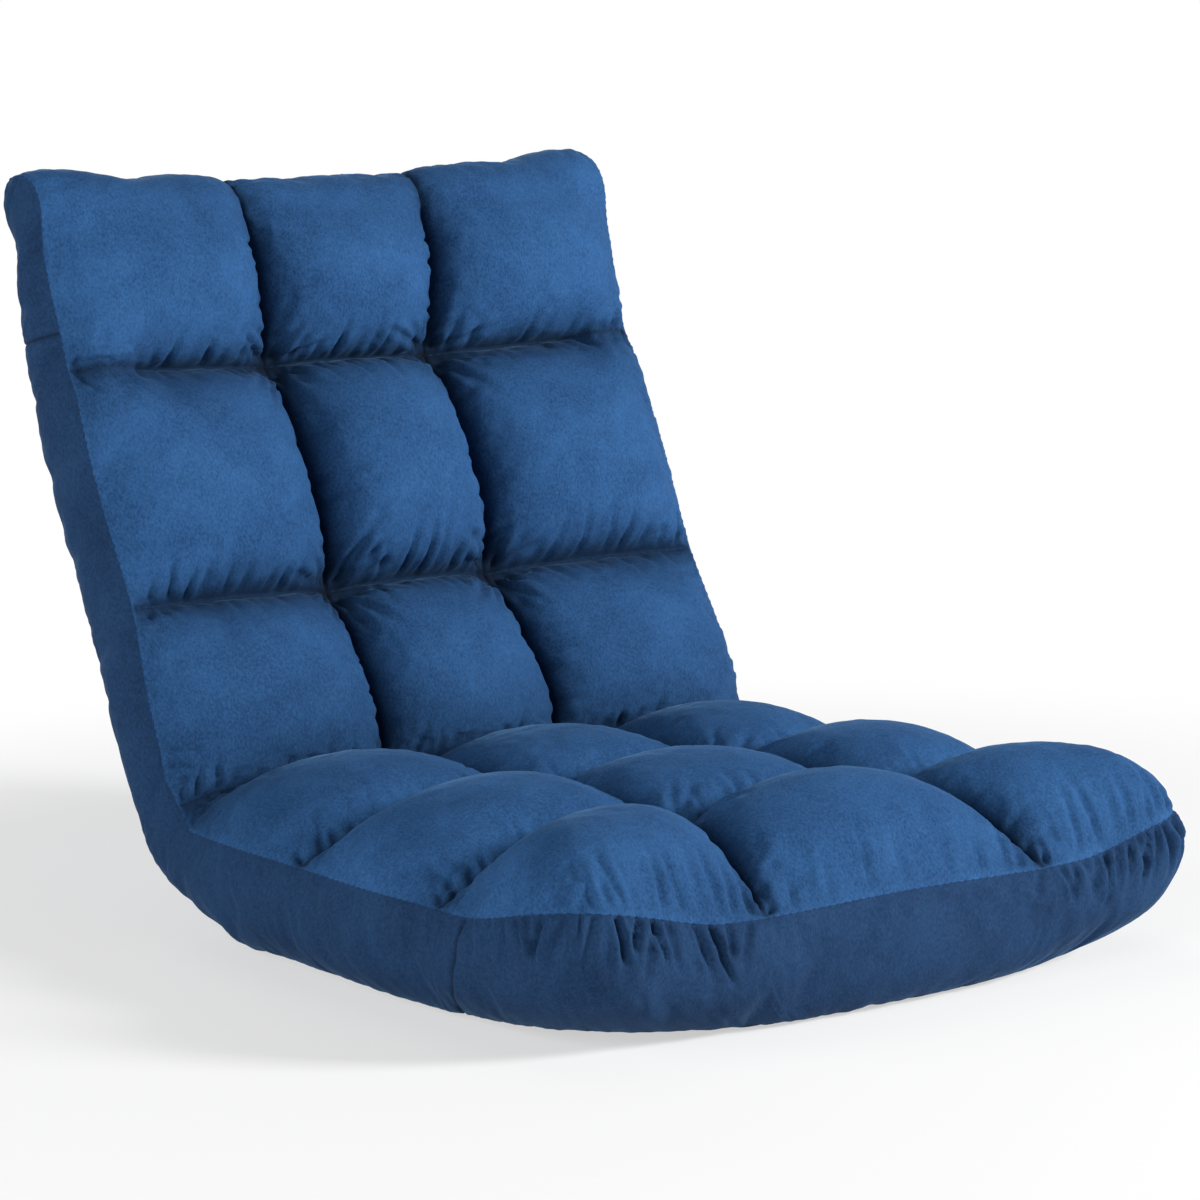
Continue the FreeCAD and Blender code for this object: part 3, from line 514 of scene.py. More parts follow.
# where two seams cross, the stitches are pulled deeper than the seams themselves
crossing_dip, crossing_reach, out_of_reach = 6.0, 20.0, 99.0
cell_length = np.diff(row_run)[along_cell]
from_row = (1.0 - np.abs(along_in)) * cell_length / 2.0
at_end = (along_cell == 0) & (along_in < 0.0) | (along_cell == 5) & (along_in > 0.0)
from_row = np.where(at_end, out_of_reach, from_row)
from_column = np.abs(np.abs(panel_x) - row_value(column_place)[:, None])
from_crossing = np.hypot(from_row[:, None], from_column)
height = height - crossing_dip * np.exp(-(from_crossing / crossing_reach) ** 2)

# the cover passes over the hinge plates, which stand proud of the seam at the fold and at the neck
hinge_x, hinge_cover, shoulder_lift = 218.0, 28.5, 9.0
lift_steps, largest_lift = 24, 3.0
from_hinge = np.abs(np.abs(panel_x) - hinge_x)
hinge_reach = hinge_cover * ease(-from_hinge, -30.0, -11.0)
for hinge_y, hinge_z in ((fold_y, fold_z), (neck_y, neck_z)):
    for step in range(lift_steps):
        lifted = front_place(panel_x, panel_run, height)
        clear = np.hypot(lifted[..., 1] - hinge_y, lifted[..., 2] - hinge_z)
        height = height + np.clip(hinge_reach - clear, 0.0, largest_lift)
from_neck = np.abs(panel_run - row_run[5])
over_hinge = ease(-from_hinge, -36.0, -8.0)
height = height + shoulder_lift * over_hinge * ease(from_neck, 3.0, 18.0) * (
    1.0 - ease(from_neck, 30.0, 64.0))
panel = front_place(panel_x, panel_run, height)

# round the edge: up the sitter's right side, over the head end, down the left side, along the front
ring = [(k, 0) for k in range(count_along)]
ring += [(count_along - 1, i) for i in range(1, count_across)]
ring += [(k, count_across - 1) for k in range(count_along - 2, -1, -1)]
ring += [(0, i) for i in range(count_across - 2, 0, -1)]
ring_k, ring_i = np.array(ring).T
ring_count = len(ring)
ring_x, ring_run = panel_x[ring_k, ring_i], panel_run[ring_k, ring_i]
ahead = np.stack([np.roll(flat, -2) - np.roll(flat, 2) for flat in (ring_x, ring_run)], -1)
ahead = ahead / np.linalg.norm(ahead, axis=1, keepdims=True)
outward = np.stack([-ahead[:, 1], ahead[:, 0]], -1)

# the edge strip in section: drop towards the rear, outward swell and inward tuck at each place down it
section_share = np.array([0.0, 0.10, 0.22, 0.40, 0.58, 0.74, 0.88, 1.0])
section_drop = np.array([0.0, 0.09, 0.22, 0.44, 0.66, 0.84, 0.955, 1.0])
section_swell = np.array([0.0, 0.35, 0.65, 0.92, 0.88, 0.55, 0.2, 0.0])
section_tuck = np.array([0.0, 0.0, 0.0, 0.05, 0.17, 0.4, 0.68, 1.0])
strip_steps = 18
seat_swell, swell_lost_at_fold, swell_lost_at_head = 8.5, 1.5, 3.0
down = np.linspace(0.0, 1.0, strip_steps + 1)


def smooth_lookup(x, xs, ys):
    """Smooth curve through a section's points."""
    slopes = np.gradient(ys, xs)
    j = np.clip(np.searchsorted(xs, x, side="right") - 1, 0, len(xs) - 2)
    w = xs[j + 1] - xs[j]
    t = (x - xs[j]) / w
    return ((2 * t ** 3 - 3 * t ** 2 + 1) * ys[j] + (t ** 3 - 2 * t ** 2 + t) * w * slopes[j]
            + (-2 * t ** 3 + 3 * t ** 2) * ys[j + 1] + (t ** 3 - t ** 2) * w * slopes[j + 1])


drop, swell, tuck = (
    smooth_lookup(down, section_share, section) for section in (section_drop, section_swell, section_tuck))
ring_swell = (seat_swell - swell_lost_at_fold * ease(ring_run, row_run[3] - 60, row_run[3] + 60)
              - swell_lost_at_head * ease(ring_run, row_run[5], row_run[6]))
edge_x = ring_x[:, None] + outward[:, :1] * ring_swell[:, None] * swell \
    + (face_x[ring_k, ring_i] - ring_x)[:, None] * tuck
edge_run = ring_run[:, None] + outward[:, 1:] * ring_swell[:, None] * swell \
    + (face_run[ring_k, ring_i] - ring_run)[:, None] * tuck
edge_rise = np.repeat(height[ring_k, ring_i][:, None], strip_steps + 1, 1)
edge_front = front_place(edge_x, edge_run, edge_rise)
edge = edge_front + (rear_place(edge_x, edge_run) - edge_front) * drop[:, None]

# rear panel: from where the heel leaves the floor up to the head end, sharing the strip's rear edge
ramp_row = int(np.argmin(np.abs(face_run[:, count_across // 2] - (seat_run - ramp_start))))
rear = rear_place(face_x, face_run)

panel_index = np.arange(count_along * count_across).reshape(count_along, count_across)
strip_index = np.zeros((ring_count, strip_steps + 1), int)
strip_index[:, 0] = panel_index[ring_k, ring_i]
strip_index[:, 1:] = panel_index.size + np.arange(ring_count * strip_steps).reshape(ring_count, strip_steps)
first_rear = panel_index.size + ring_count * strip_steps
rear_rows = count_along - 1 - ramp_row
rear_index = np.full((count_along, count_across), -1)
rear_index[ramp_row:-1, 1:-1] = first_rear + np.arange(
    rear_rows * (count_across - 2)).reshape(rear_rows, -1)
beside_rear = ring_k >= ramp_row
rear_index[ring_k[beside_rear], ring_i[beside_rear]] = strip_index[beside_rear, -1]
points = np.concatenate([panel.reshape(-1, 3), edge[:, 1:].reshape(-1, 3),
                         rear[ramp_row:-1, 1:-1].reshape(-1, 3)]) * MM


def lattice_quads(lattice):
    """Four-sided faces between the neighbours of a lattice of point numbers."""
    corners = [lattice[:-1, :-1], lattice[:-1, 1:], lattice[1:, 1:], lattice[1:, :-1]]
    return np.stack(corners, -1).reshape(-1, 4)


strip_loop = np.concatenate([strip_index, strip_index[:1]])
quads = np.concatenate([lattice_quads(panel_index), lattice_quads(strip_loop)[:, ::-1],
                        lattice_quads(rear_index[ramp_row:])[:, ::-1]])
station = np.concatenate([np.repeat(np.arange(count_along), count_across), np.repeat(ring_k, strip_steps),
                          np.repeat(np.arange(ramp_row, count_along - 1), count_across - 2)])
cover_mesh = bpy.data.meshes.new("cover")
cover_mesh.from_pydata(points.tolist(), [], quads.tolist())
cover_mesh.update()
cover = put_in_scene("cover", cover_mesh)

# which points are sewn down, how full the cloth is cut at each, and how hard the stuffing pushes there
zip_run, zip_half = row_run[3] - crease_gap + 62.0, 150.0
zip_clear_along, zip_clear_across = 24.0, 22.0
rear_held, rear_push = 0.35, 0.2
gather_reach, gather_width = 24.0, 170.0
sewn_row = np.abs(along_in) > 0.999
sewn_column = np.abs(across_in) > 0.999
behind_zip = ((np.abs(face_run - zip_run) < zip_clear_along) & (rear_index >= first_rear)
              & (np.abs(face_x) < zip_half + zip_clear_across))
held = np.zeros(len(points))
held[first_rear:] = rear_held
for sewn in (panel_index[sewn_row, :], panel_index[:, sewn_column], strip_index[:, -1],
             rear_index[ramp_row], rear_index[behind_zip]):
    held[sewn.ravel()] = 1.0
seam_near = np.maximum(np.exp(-(1.0 - np.abs(along_in)) * cell_length / 2.0 / gather_reach)[:, None],
                       np.exp(-(1.0 - np.abs(across_in)) * gather_width / 2.0 / gather_reach)[None, :])
ring_corner = ease(np.abs(ring_x), 70.0, 200.0) * ease(-ring_run, -170.0, -30.0)
full = np.zeros(len(points))
full[panel_index.ravel()] = seam_near.ravel()
full[strip_index[:, 1:].ravel()] = (
    (0.25 + 0.75 * ring_corner)[:, None] * (1.0 - 0.7 * down[None, 1:])).ravel()
push = np.ones(len(points))
push[first_rear:] = rear_push


def read_all(items, field, width, kind=float):
    """All values of one field of a mesh's points, edges or faces."""
    values = np.zeros(len(items) * width, kind)
    items.foreach_get(field, values)
    return values.reshape(-1, width) if width > 1 else values


settle_frames = 14
largest_move = 0.018
chance = np.random.RandomState(11)
rough = points + chance.normal(0.0, 0.0004, points.shape) * (held < 0.1)[:, None]
cover_mesh.vertices.foreach_set("co", rough.ravel())
for group_name, values in (("held", held), ("full", full), ("push", push)):
    group = cover.vertex_groups.new(name=group_name)
    for vertex, value in enumerate(values):
        if value > 0.01:
            group.add([vertex], float(value), "REPLACE")
cloth = cover.modifiers.new("settle", "CLOTH")
stuff = cloth.settings
stuff.quality = 4
stuff.mass = 0.2
stuff.tension_stiffness = 20.0
stuff.compression_stiffness = 20.0
stuff.shear_stiffness = 8.0
stuff.bending_stiffness = 0.4
stuff.air_damping = 2.0
stuff.use_pressure = True
stuff.uniform_pressure_force = 3.0
stuff.vertex_group_mass = "held"
stuff.vertex_group_shrink = "full"
stuff.vertex_group_pressure = "push"
stuff.shrink_min = -0.02
stuff.shrink_max = -0.14
stuff.effector_weights.gravity = 0.0
cloth.collision_settings.use_self_collision = False
cloth.point_cache.frame_start = 1
cloth.point_cache.frame_end = settle_frames
for step in range(1, settle_frames + 1):
    scene.frame_set(step)
settled = cover.evaluated_get(bpy.context.evaluated_depsgraph_get()).to_mesh()
moved = read_all(settled.vertices, "co", 3) - points
reach = np.linalg.norm(moved, axis=1, keepdims=True)
moved = moved * np.minimum(1.0, largest_move / np.maximum(reach, 1e-9))
cover.modifiers.remove(cloth)
cover.vertex_groups.clear()
scene.frame_set(1)
points = points + moved
cover_mesh.vertices.foreach_set("co", points.ravel())
cover_mesh.update()

# painted shade beside the stitches, at the seam crossings and in the fold, darkening the velvet towards a
# near-black: how far it reaches below and above each sewn row in mm, and how dark it gets, with the deepest
# painted shade in the fold
shade_low = np.array([22.0, 7.0, 7.0, 46.0, 7.0, 7.0])
shade_low_share = np.array([0.2, 0.8, 0.8, 0.55, 0.8, 0.8])
shade_high = np.array([12.0, 12.0, 62.0, 20.0, 20.0, 1.0])
shade_high_share = np.array([0.75, 0.75, 0.75, 0.8, 0.8, 0.0])
shade_column, shade_column_share = 8.0, 0.75
shade_stitch, shade_cross, shade_cross_share, shade_edge_share = 0.8, 14.0, 0.8, 0.3
from_low, from_high = (1.0 + along_in) * cell_length / 2.0, (1.0 - along_in) * cell_length / 2.0
shade_rows = np.maximum(shade_low_share[along_cell] * np.exp(-from_low / shade_low[along_cell]),
                         shade_high_share[along_cell] * np.exp(-from_high / shade_high[along_cell]))
shade_rows[np.where(sewn_row)[0][1:-1]] = shade_stitch
shade_columns = shade_column_share * np.exp(-from_column / shade_column)
shade_crossing = shade_cross_share * np.exp(-from_crossing / shade_cross)
unshaded = (1.0 - shade_rows[:, None]) * (1.0 - shade_columns) * (1.0 - shade_crossing)
seam_shade = np.zeros(len(points), np.float32)
seam_shade[panel_index.ravel()] = (1.0 - unshaded).ravel()
seam_shade[strip_index[:, 0]] *= shade_edge_share

# what each point of the cover is, kept with the mesh while it is made finer
ring_step = np.linalg.norm(np.diff(np.concatenate([edge[:, 0], edge[:1, 0]]), axis=0), axis=1)
ring_length = np.concatenate([[0.0], np.cumsum(ring_step)[:-1]])
strip_depth = np.linalg.norm(edge[:, -1] - edge[:, 0], axis=1)
kept_values = {"painted_seam_shade": seam_shade}
for value_name, places, values in (
        ("on_panel", panel_index, 1.0),
        ("on_strip", strip_index, 1.0),
        ("row_place", panel_index, np.repeat(along_cell + along_share, count_across)),
        ("column_place", panel_index, np.tile(across_cell + across_share, count_along)),
        ("flat_x", panel_index, panel_x.ravel()),
        ("flat_run", panel_index, panel_run.ravel()),
        ("strip_length", strip_index, np.repeat(ring_length, strip_steps + 1)),
        ("strip_down", strip_index, (strip_depth[:, None] * down[None, :]).ravel())):
    kept_values[value_name] = np.zeros(len(points), np.float32)
    kept_values[value_name][places.ravel()] = values
for value_name, values in kept_values.items():
    cover_mesh.attributes.new(value_name, "FLOAT", "POINT").data.foreach_set("value", values)


def pile_velvet(name, shaded, lit, shade_colour):
    """Cut-pile velvet: the pile leans in soft brushed patches and shows a fine grain; painted shade darkens it
    beside the seams.
    """
    brushed_patch, tuft_across, tuft_along = 0.05, 0.0014, 0.0024
    material, tree, output = new_material(name)
    place = add_node(tree, "ShaderNodeTexCoord").outputs["Object"]
    brushed = add_node(tree, "ShaderNodeTexNoise", [
        ("Vector", place), ("Scale", 1.0 / brushed_patch), ("Detail", 5.0), ("Roughness", 0.62),
        ("Distortion", 0.3)])
    brushed_share = add_node(tree, "ShaderNodeMapRange", [
        ("Value", brushed.outputs["Fac"]), ("From Min", 0.16), ("From Max", 0.84)])
    tuft_place = add_node(tree, "ShaderNodeMapping", [
        ("Vector", place), ("Scale", (1.0 / tuft_across, 1.0 / tuft_along, 1.0 / tuft_along))])
    tufts = add_node(tree, "ShaderNodeTexNoise", [
        ("Vector", tuft_place.outputs["Vector"]), ("Scale", 1.0), ("Detail", 3.0), ("Roughness", 0.7)])
    tuft_share = add_node(tree, "ShaderNodeMapRange", [
        ("Value", tufts.outputs["Fac"]), ("From Min", 0.3), ("From Max", 0.7),
        ("To Min", -0.5), ("To Max", 0.5)])
    pile_share = add_node(tree, "ShaderNodeMath", [
        (0, brushed_share.outputs["Result"]), (1, tuft_share.outputs["Result"])],
        operation="ADD", use_clamp=True)
    pile_colour = add_node(tree, "ShaderNodeMix", [
        (0, pile_share.outputs[0]), (6, colour(shaded)), (7, colour(lit))], data_type="RGBA")
    # painted shade: the pile colour is mixed towards the near-black shade colour by the painted seam shade
    # attribute
    shade_attribute = add_node(tree, "ShaderNodeAttribute", attribute_name="painted_seam_shade")
    shaded_pile_colour = add_node(tree, "ShaderNodeMix", [
        (0, shade_attribute.outputs["Fac"]), (6, pile_colour.outputs[2]), (7, colour(shade_colour))], data_type="RGBA")
    pile_bump = add_node(tree, "ShaderNodeBump", [
        ("Height", tufts.outputs["Fac"]), ("Strength", 0.4), ("Distance", 0.0006)])
    pile = add_node(tree, "ShaderNodeBsdfPrincipled", [
        ("Base Color", shaded_pile_colour.outputs[2]), ("Roughness", 0.9), ("Specular IOR Level", 0.1),
        ("Sheen Weight", 0.16), ("Sheen Roughness", 0.28), ("Sheen Tint", colour("#7fb0e0")),
        ("Normal", pile_bump.outputs[0])])
    tree.links.new(pile.outputs[0], output.inputs["Surface"])
    return material


# velvet swallows light into its pile, and the leaning pile shows in patches; the near-black colour is painted
# shade for the valleys;
# the edge strip, cut with its pile running down, gets a darker copy of the velvet as painted shade
velvet = pile_velvet("cut_pile_velvet", "#1c3d64", "#2e5888", "#050c18")
shaded_strip_velvet = pile_velvet("cut_pile_velvet_shaded_copy", "#142a47", "#203d60", "#050c18")
cover_mesh.materials.append(velvet)
cover_mesh.materials.append(shaded_strip_velvet)
on_edge = np.zeros(len(quads), np.int32)
panel_quads = (count_along - 1) * (count_across - 1)
on_edge[panel_quads:panel_quads + ring_count * strip_steps] = 1
cover_mesh.polygons.foreach_set("material_index", on_edge)

# the joined cover is made finer, with its seams kept sharp; the sewn row across the middle of the back,
# where it is cut in two later, is marked
seam_sharpness = 0.75
seam_lines = [panel_index[k] for k in np.where(sewn_row)[0]]
seam_lines += [panel_index[:, i] for i in np.where(sewn_column)[0]]
seam_lines += [strip_loop[:, 0], strip_loop[:, -1]]
seam_edges = set()
for line in seam_lines:
    seam_edges.update((min(a, b), max(a, b)) for a, b in zip(line[:-1].tolist(), line[1:].tolist()))
edge_ends = read_all(cover_mesh.edges, "vertices", 2, np.int32).tolist()
sharp = np.array([seam_sharpness * ((min(a, b), max(a, b)) in seam_edges) for a, b in edge_ends], np.float32)
cover_mesh.attributes.new("crease_edge", "FLOAT", "EDGE").data.foreach_set("value", sharp)
middle_seam = int(np.sum(row_strips[:4]))
above = (station[quads].max(axis=1) > middle_seam).astype(np.int32)
cover_mesh.attributes.new("above_middle", "INT", "FACE").data.foreach_set("value", above)
finer = cover.modifiers.new("finer", "SUBSURF")
finer.levels = finer.render_levels = 1
fine = bpy.data.meshes.new_from_object(cover.evaluated_get(bpy.context.evaluated_depsgraph_get()))
fine_points = read_all(fine.vertices, "co", 3)
fine_values = {value_name: read_all(fine.attributes[value_name].data, "value", 1, np.float32)
               for value_name in kept_values}
fine_quads = read_all(fine.polygons, "vertices", 4, np.int32)
fine_above = read_all(fine.attributes["above_middle"].data, "value", 1, np.int32)
fine_edge = read_all(fine.polygons, "material_index", 1, np.int32)
bpy.data.objects.remove(cover)

# puckers: short folds drawn in from the stitches, longest where four pillows meet at a sewn-down point;
# each fold's swing in radians and its length, width and depth in mm are drawn from these ranges
row_folds = ((-0.2, 0.2), (16.0, 46.0), (2.2, 3.7), (0.9, 3.7))
column_folds = ((-0.3, 0.3), (14.0, 40.0), (2.2, 3.8), (0.5, 2.4))
crossing_folds = ((-0.03, 0.03), (34.0, 72.0), (2.7, 4.4), (2.0, 4.6))
crossing_bends, crossing_lead = (-0.17, -0.06, 0.06, 0.17), 11.0
upper_row_strength = 0.55
fold_fan = 0.7
fold_cell_width = 165.0
stitch_flat = 4.0
chance = np.random.RandomState(23)
fold_depth = np.zeros(len(fine_points))


def drawn(ranges):
    """One number from each range, in turn."""
    return [chance.uniform(low, high) for low, high in ranges]


def pucker(across_mm, along_mm, start, heading, length, width, depth, lead=5.0, straight=0.25):
    """Depth of one fold that runs from a start point in a heading, over flat places in mm."""
    reach_x, reach_y = across_mm - start[0], along_mm - start[1]
    forward = reach_x * math.cos(heading) + reach_y * math.sin(heading)
    aside = (reach_y * math.cos(heading) - reach_x * math.sin(heading)) / width
    taper = ease(forward, lead - 8.0, lead) * (1.0 - ease(forward, straight * length, length))
    return depth * taper * (np.exp(-aside ** 2) - 0.4 * np.exp(-(np.abs(aside) - 1.7) ** 2))


def edge_places(line_x, line_run, first, shortest, longest):
    """Places along one edge of a cell where a fold starts, with the share of the edge passed."""
    share = first
    while share < 1.0 - first:
        steps = np.linspace(0.0, 1.0, len(line_x))
        yield share, (np.interp(share, steps, line_x), np.interp(share, steps, line_run))
        share += chance.uniform(shortest, longest)


on_panel = fine_values["on_panel"] > 0.999
row_number, column_number = np.floor(fine_values["row_place"]), np.floor(fine_values["column_place"])
row_starts = np.concatenate([[0], np.cumsum(row_strips)])
for row in range(6):
    for column in range(3):
        inside = np.where(on_panel & (row_number == row) & (column_number == column))[0]
        flat_x, flat_run = fine_values["flat_x"][inside], fine_values["flat_run"][inside]
        cell = np.ix_(np.arange(row_starts[row], row_starts[row + 1] + 1),
                      np.arange(column * cell_strips, (column + 1) * cell_strips + 1))
        cell_x, cell_run = panel_x[cell], panel_run[cell]
        cell_folds = np.zeros(len(inside))
        for end, turn, strength in ((0, math.pi / 2.0, 1.0), (-1, -math.pi / 2.0, upper_row_strength)):
            for share, start in edge_places(cell_x[end], cell_run[end], 0.04, 0.05, 0.125):
                fan = -math.copysign((0.5 - share) * fold_fan, turn)
                swing, length, width, depth = drawn(row_folds)
                cell_folds += pucker(
                    flat_x, flat_run, start, turn + fan + swing, length, width, strength * depth)
        for end, turn in ((0, 0.0), (-1, math.pi)):
            for share, start in edge_places(cell_x[:, end], cell_run[:, end], 0.05, 0.07, 0.18):
                swing, length, width, depth = drawn(column_folds)
                cell_folds += pucker(flat_x, flat_run, start, turn + swing, length, width, depth)
        for end_row, end_column, turn in ((0, 0, 0.25), (0, -1, 0.75), (-1, 0, -0.25), (-1, -1, -0.75)):
            at_seam_row = (row + (1 if end_row else 0)) in (1, 2, 4, 5)
            at_side = (column, end_column) in ((0, 0), (2, -1))
            start = (cell_x[end_row, end_column], cell_run[end_row, end_column])
            for bend in crossing_bends if at_seam_row and not at_side else ():
                swing, length, width, depth = drawn(crossing_folds)
                cell_folds += pucker(flat_x, flat_run, start, (turn + bend + swing) * math.pi,
                                     length, width, depth, lead=crossing_lead)
        row_off = np.abs(fine_values["row_place"][inside] - row - 0.5)
        column_off = np.abs(fine_values["column_place"][inside] - column - 0.5)
        from_stitch = np.minimum((0.5 - row_off) * (row_run[row + 1] - row_run[row]),
                                 (0.5 - column_off) * fold_cell_width)
        fold_depth[inside] = cell_folds * ease(from_stitch, 0.0, stitch_flat)

# the strip's folds hang from its upper seam, deeper and closer together at the front corners and the head
strip_folds = ((-0.3, 0.3), (18.0, 34.0), (0.4, 1.0), (2.4, 3.6), (0.6, 1.4))
strip_spacing, corner_closer = (13.0, 24.0), (6.0, 11.0)
strip_end, corner_longer = 6.0, 44.0
plain_strength, corner_strength, head_strength = 0.6, 3.3, 2.0
strip_points = np.where((fine_values["on_strip"] > 0.999) & (fine_values["strip_down"] > 0.01))[0]
strip_length = fine_values["strip_length"][strip_points]
strip_down = fine_values["strip_down"][strip_points]
hanging_folds = np.zeros(len(strip_points))
hung_at = strip_end
while hung_at < ring_length[-1] - strip_end:
    ring_number = int(np.searchsorted(ring_length, hung_at))
    near_corner = ring_corner[ring_number]
    near_head = float(ease(ring_run[ring_number], row_run[5] - 10.0, row_run[5] + 40.0))
    strength = plain_strength + corner_strength * near_corner + head_strength * near_head
    swing, length, longer, width, depth = drawn(strip_folds)
    hanging_folds += pucker(
        strip_length, strip_down, (hung_at, 0.0), math.pi / 2.0 + swing,
        length + corner_longer * near_corner * longer, width, strength * depth, straight=0.5)
    hung_at += chance.uniform(*strip_spacing) - near_corner * chance.uniform(*corner_closer)
fold_depth[strip_points] = hanging_folds * ease(strip_down, 0.0, stitch_flat)

# the strip is joined from lengths: cross seams beside the front corners and at the neck, where each starts
# along the edge and how far it slants by the lower edge; each seam is pressed in and darkened with a painted
# shade line
cross_seams = ((103.0, 20.0), (816.0, 0.0))
cross_depth, cross_width, cross_seam_shade, cross_seam_shade_width = 1.5, 1.8, 0.7, 1.7
far_corner = ring_length[2 * count_along + count_across - 3]
down_share = strip_down / np.interp(strip_length, ring_length, strip_depth)
strip_shade = fine_values["painted_seam_shade"][strip_points]
for seam_start, slant in cross_seams:
    for from_corner in (strip_length, far_corner - strip_length):
        away = from_corner - seam_start - slant * down_share
        fold_depth[strip_points] += cross_depth * np.exp(-(away / cross_width) ** 2)
        strip_shade = np.maximum(strip_shade, cross_seam_shade * np.exp(-(away / cross_seam_shade_width) ** 2))
fine_values["painted_seam_shade"][strip_points] = strip_shade

fine_normals = read_all(fine.vertex_normals, "vector", 3)
fine_points = fine_points - fine_normals * fold_depth[:, None] * MM
fine.vertices.foreach_set("co", fine_points.ravel())
fine.update()
fine_normals = read_all(fine.vertex_normals, "vector", 3)


def cover_piece(name, chosen):
    """One cut piece of the cover, shaded as if it were still joined to the other."""
    kept, renumbered = np.unique(fine_quads[chosen], return_inverse=True)
    mesh = bpy.data.meshes.new(name)
    mesh.from_pydata(fine_points[kept].tolist(), [], renumbered.reshape(-1, 4).tolist())
    mesh.polygons.foreach_set("use_smooth", [True] * len(mesh.polygons))
    mesh.normals_split_custom_set_from_vertices(fine_normals[kept].tolist())
    mesh.materials.append(velvet)
    mesh.materials.append(shaded_strip_velvet)
    mesh.polygons.foreach_set("material_index", fine_edge[chosen])
    # the painted seam shade is carried over to each piece
    shade_attribute = mesh.attributes.new("painted_seam_shade", "FLOAT", "POINT")
    shade_attribute.data.foreach_set("value", fine_values["painted_seam_shade"][kept])
    return put_in_scene(name, mesh)


def across_hinge(hinge_y, hinge_z, heading, half_zone):
    """Two points in metres, either side of a hinge axis, half a zone away along a heading."""
    step = np.array([0.0, math.cos(heading), math.sin(heading)]) * half_zone
    middle = np.array([0.0, hinge_y, hinge_z])
    return ((middle - step) * MM).tolist(), ((middle + step) * MM).tolist()


fold_blend, neck_blend = 34.0, 40.0
seat_cover = cover_piece("seat_and_lower_back_cover", fine_above == 0)
head_cover = cover_piece("upper_back_and_head_cover", fine_above == 1)
fold_start, fold_end = across_hinge(fold_y, fold_z, (math.pi / 2.0 - back_lean) / 2.0, fold_blend)
neck_start, neck_end = across_hinge(
    neck_y, neck_z, math.pi / 2.0 - (back_lean + head_lean) / 2.0, neck_blend)
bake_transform(seat_cover)
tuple(fold_start)
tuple(fold_end)
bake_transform(head_cover)
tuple(neck_start)
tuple(neck_end)
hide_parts("seat_top_foam", "seat_base_foam", "heel_foam", "heel_cover", "seat_boxing",
            "seat_rear_tufts", "seat_middle_tufts", "seat_front_tufts", "back_lower_tufts",
            "back_front_foam", "back_rear_foam", "back_rear_panel", "back_boxing")
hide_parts("back_upper_tufts", "head_tufts", "neck_foam", "neck_cover",
            "head_front_foam", "head_rear_foam", "head_cover")


# Seam thread: navy polyester lockstitch along the edge of every panel and along each tufted row and
# column, pulled down into the pile. A stitch is about 4.4 mm long; its thread is drawn twice its real width.
stitch_pitch, stitch_length, stitch_width = 6.4, 4.4, 1.1
stitch_rings = ((-0.5, 0.25, -0.6), (-0.3, 0.9, -0.2), (0.0, 1.0, 0.0), (0.3, 0.9, -0.2), (0.5, 0.25, -0.6))
stitch_sides, stitch_flatness = 6, 0.8

# twisted polyester: a smooth thread, a little shinier than the pile, with a fine mottle from its twist
twist_width = 0.0009
thread, thread_tree, thread_output = new_material("twisted_polyester_thread")
thread_place = add_node(thread_tree, "ShaderNodeTexCoord").outputs["Object"]
thread_twist = add_node(thread_tree, "ShaderNodeTexNoise", [
    ("Vector", thread_place), ("Scale", 1.0 / twist_width)])
thread_colour = add_node(thread_tree, "ShaderNodeMix", [
    (0, thread_twist.outputs["Fac"]), (6, colour("#0c2240")), (7, colour("#173a66"))], data_type="RGBA")
thread_skin = add_node(thread_tree, "ShaderNodeBsdfPrincipled", [
    ("Base Color", thread_colour.outputs[2]), ("Roughness", 0.7), ("Specular IOR Level", 0.15)])
thread_tree.links.new(thread_skin.outputs[0], thread_output.inputs["Surface"])


def rod_faces(first, rings, sides, turned=False):
    """Faces of a closed rod from its rings of points; turned where the rings run the other way round."""
    faces = []
    for low in range(first, first + (rings - 1) * sides, sides):
        for corner in range(sides):
            following = (corner + 1) % sides
            around = (low + following, low + sides + following, low + sides + corner)
            faces.append((low + corner, *(around[::-1] if turned else around)))
    last = first + (rings - 1) * sides
    for cap in (range(first + sides - 1, first - 1, -1), range(last, last + sides)):
        faces.append(tuple(reversed(cap) if turned else cap))
    return faces


def sew(name, lines):
    """One piece of all the stitches along lines of cover point numbers."""
    thread_points, thread_faces = [], []
    around = np.arange(stitch_sides) * 2.0 * math.pi / stitch_sides
    for line in lines:
        places, facing = fine_points[line] / MM, fine_normals[line]
        walked = np.concatenate([[0.0], np.cumsum(np.linalg.norm(np.diff(places, axis=0), axis=1))])
        for centre in np.arange(stitch_pitch, walked[-1] - stitch_pitch / 2.0, stitch_pitch):
            here, before, after = (np.array([np.interp(centre + step, walked, places[:, i]) for i in range(3)])
                                   for step in (0.0, -2.0, 2.0))
            up = np.array([np.interp(centre, walked, facing[:, i]) for i in range(3)])
            heading = (after - before) / np.linalg.norm(after - before)
            side = np.cross(heading, up)
            side = side / np.linalg.norm(side)
            up = np.cross(side, heading)
            thread_faces += rod_faces(len(thread_points), len(stitch_rings), stitch_sides)
            for along, girth, rise in stitch_rings:
                middle = here + heading * along * stitch_length + up * rise
                for angle in around:
                    aside = side * math.cos(angle) + up * math.sin(angle) * stitch_flatness
                    thread_points.append((middle + aside * girth * stitch_width / 2.0) * MM)
    mesh = bpy.data.meshes.new(name)
    mesh.from_pydata(thread_points, [], thread_faces)
    mesh.polygons.foreach_set("use_smooth", [True] * len(mesh.polygons))
    mesh.materials.append(thread)
    piece = put_in_scene(name, mesh)
    return piece


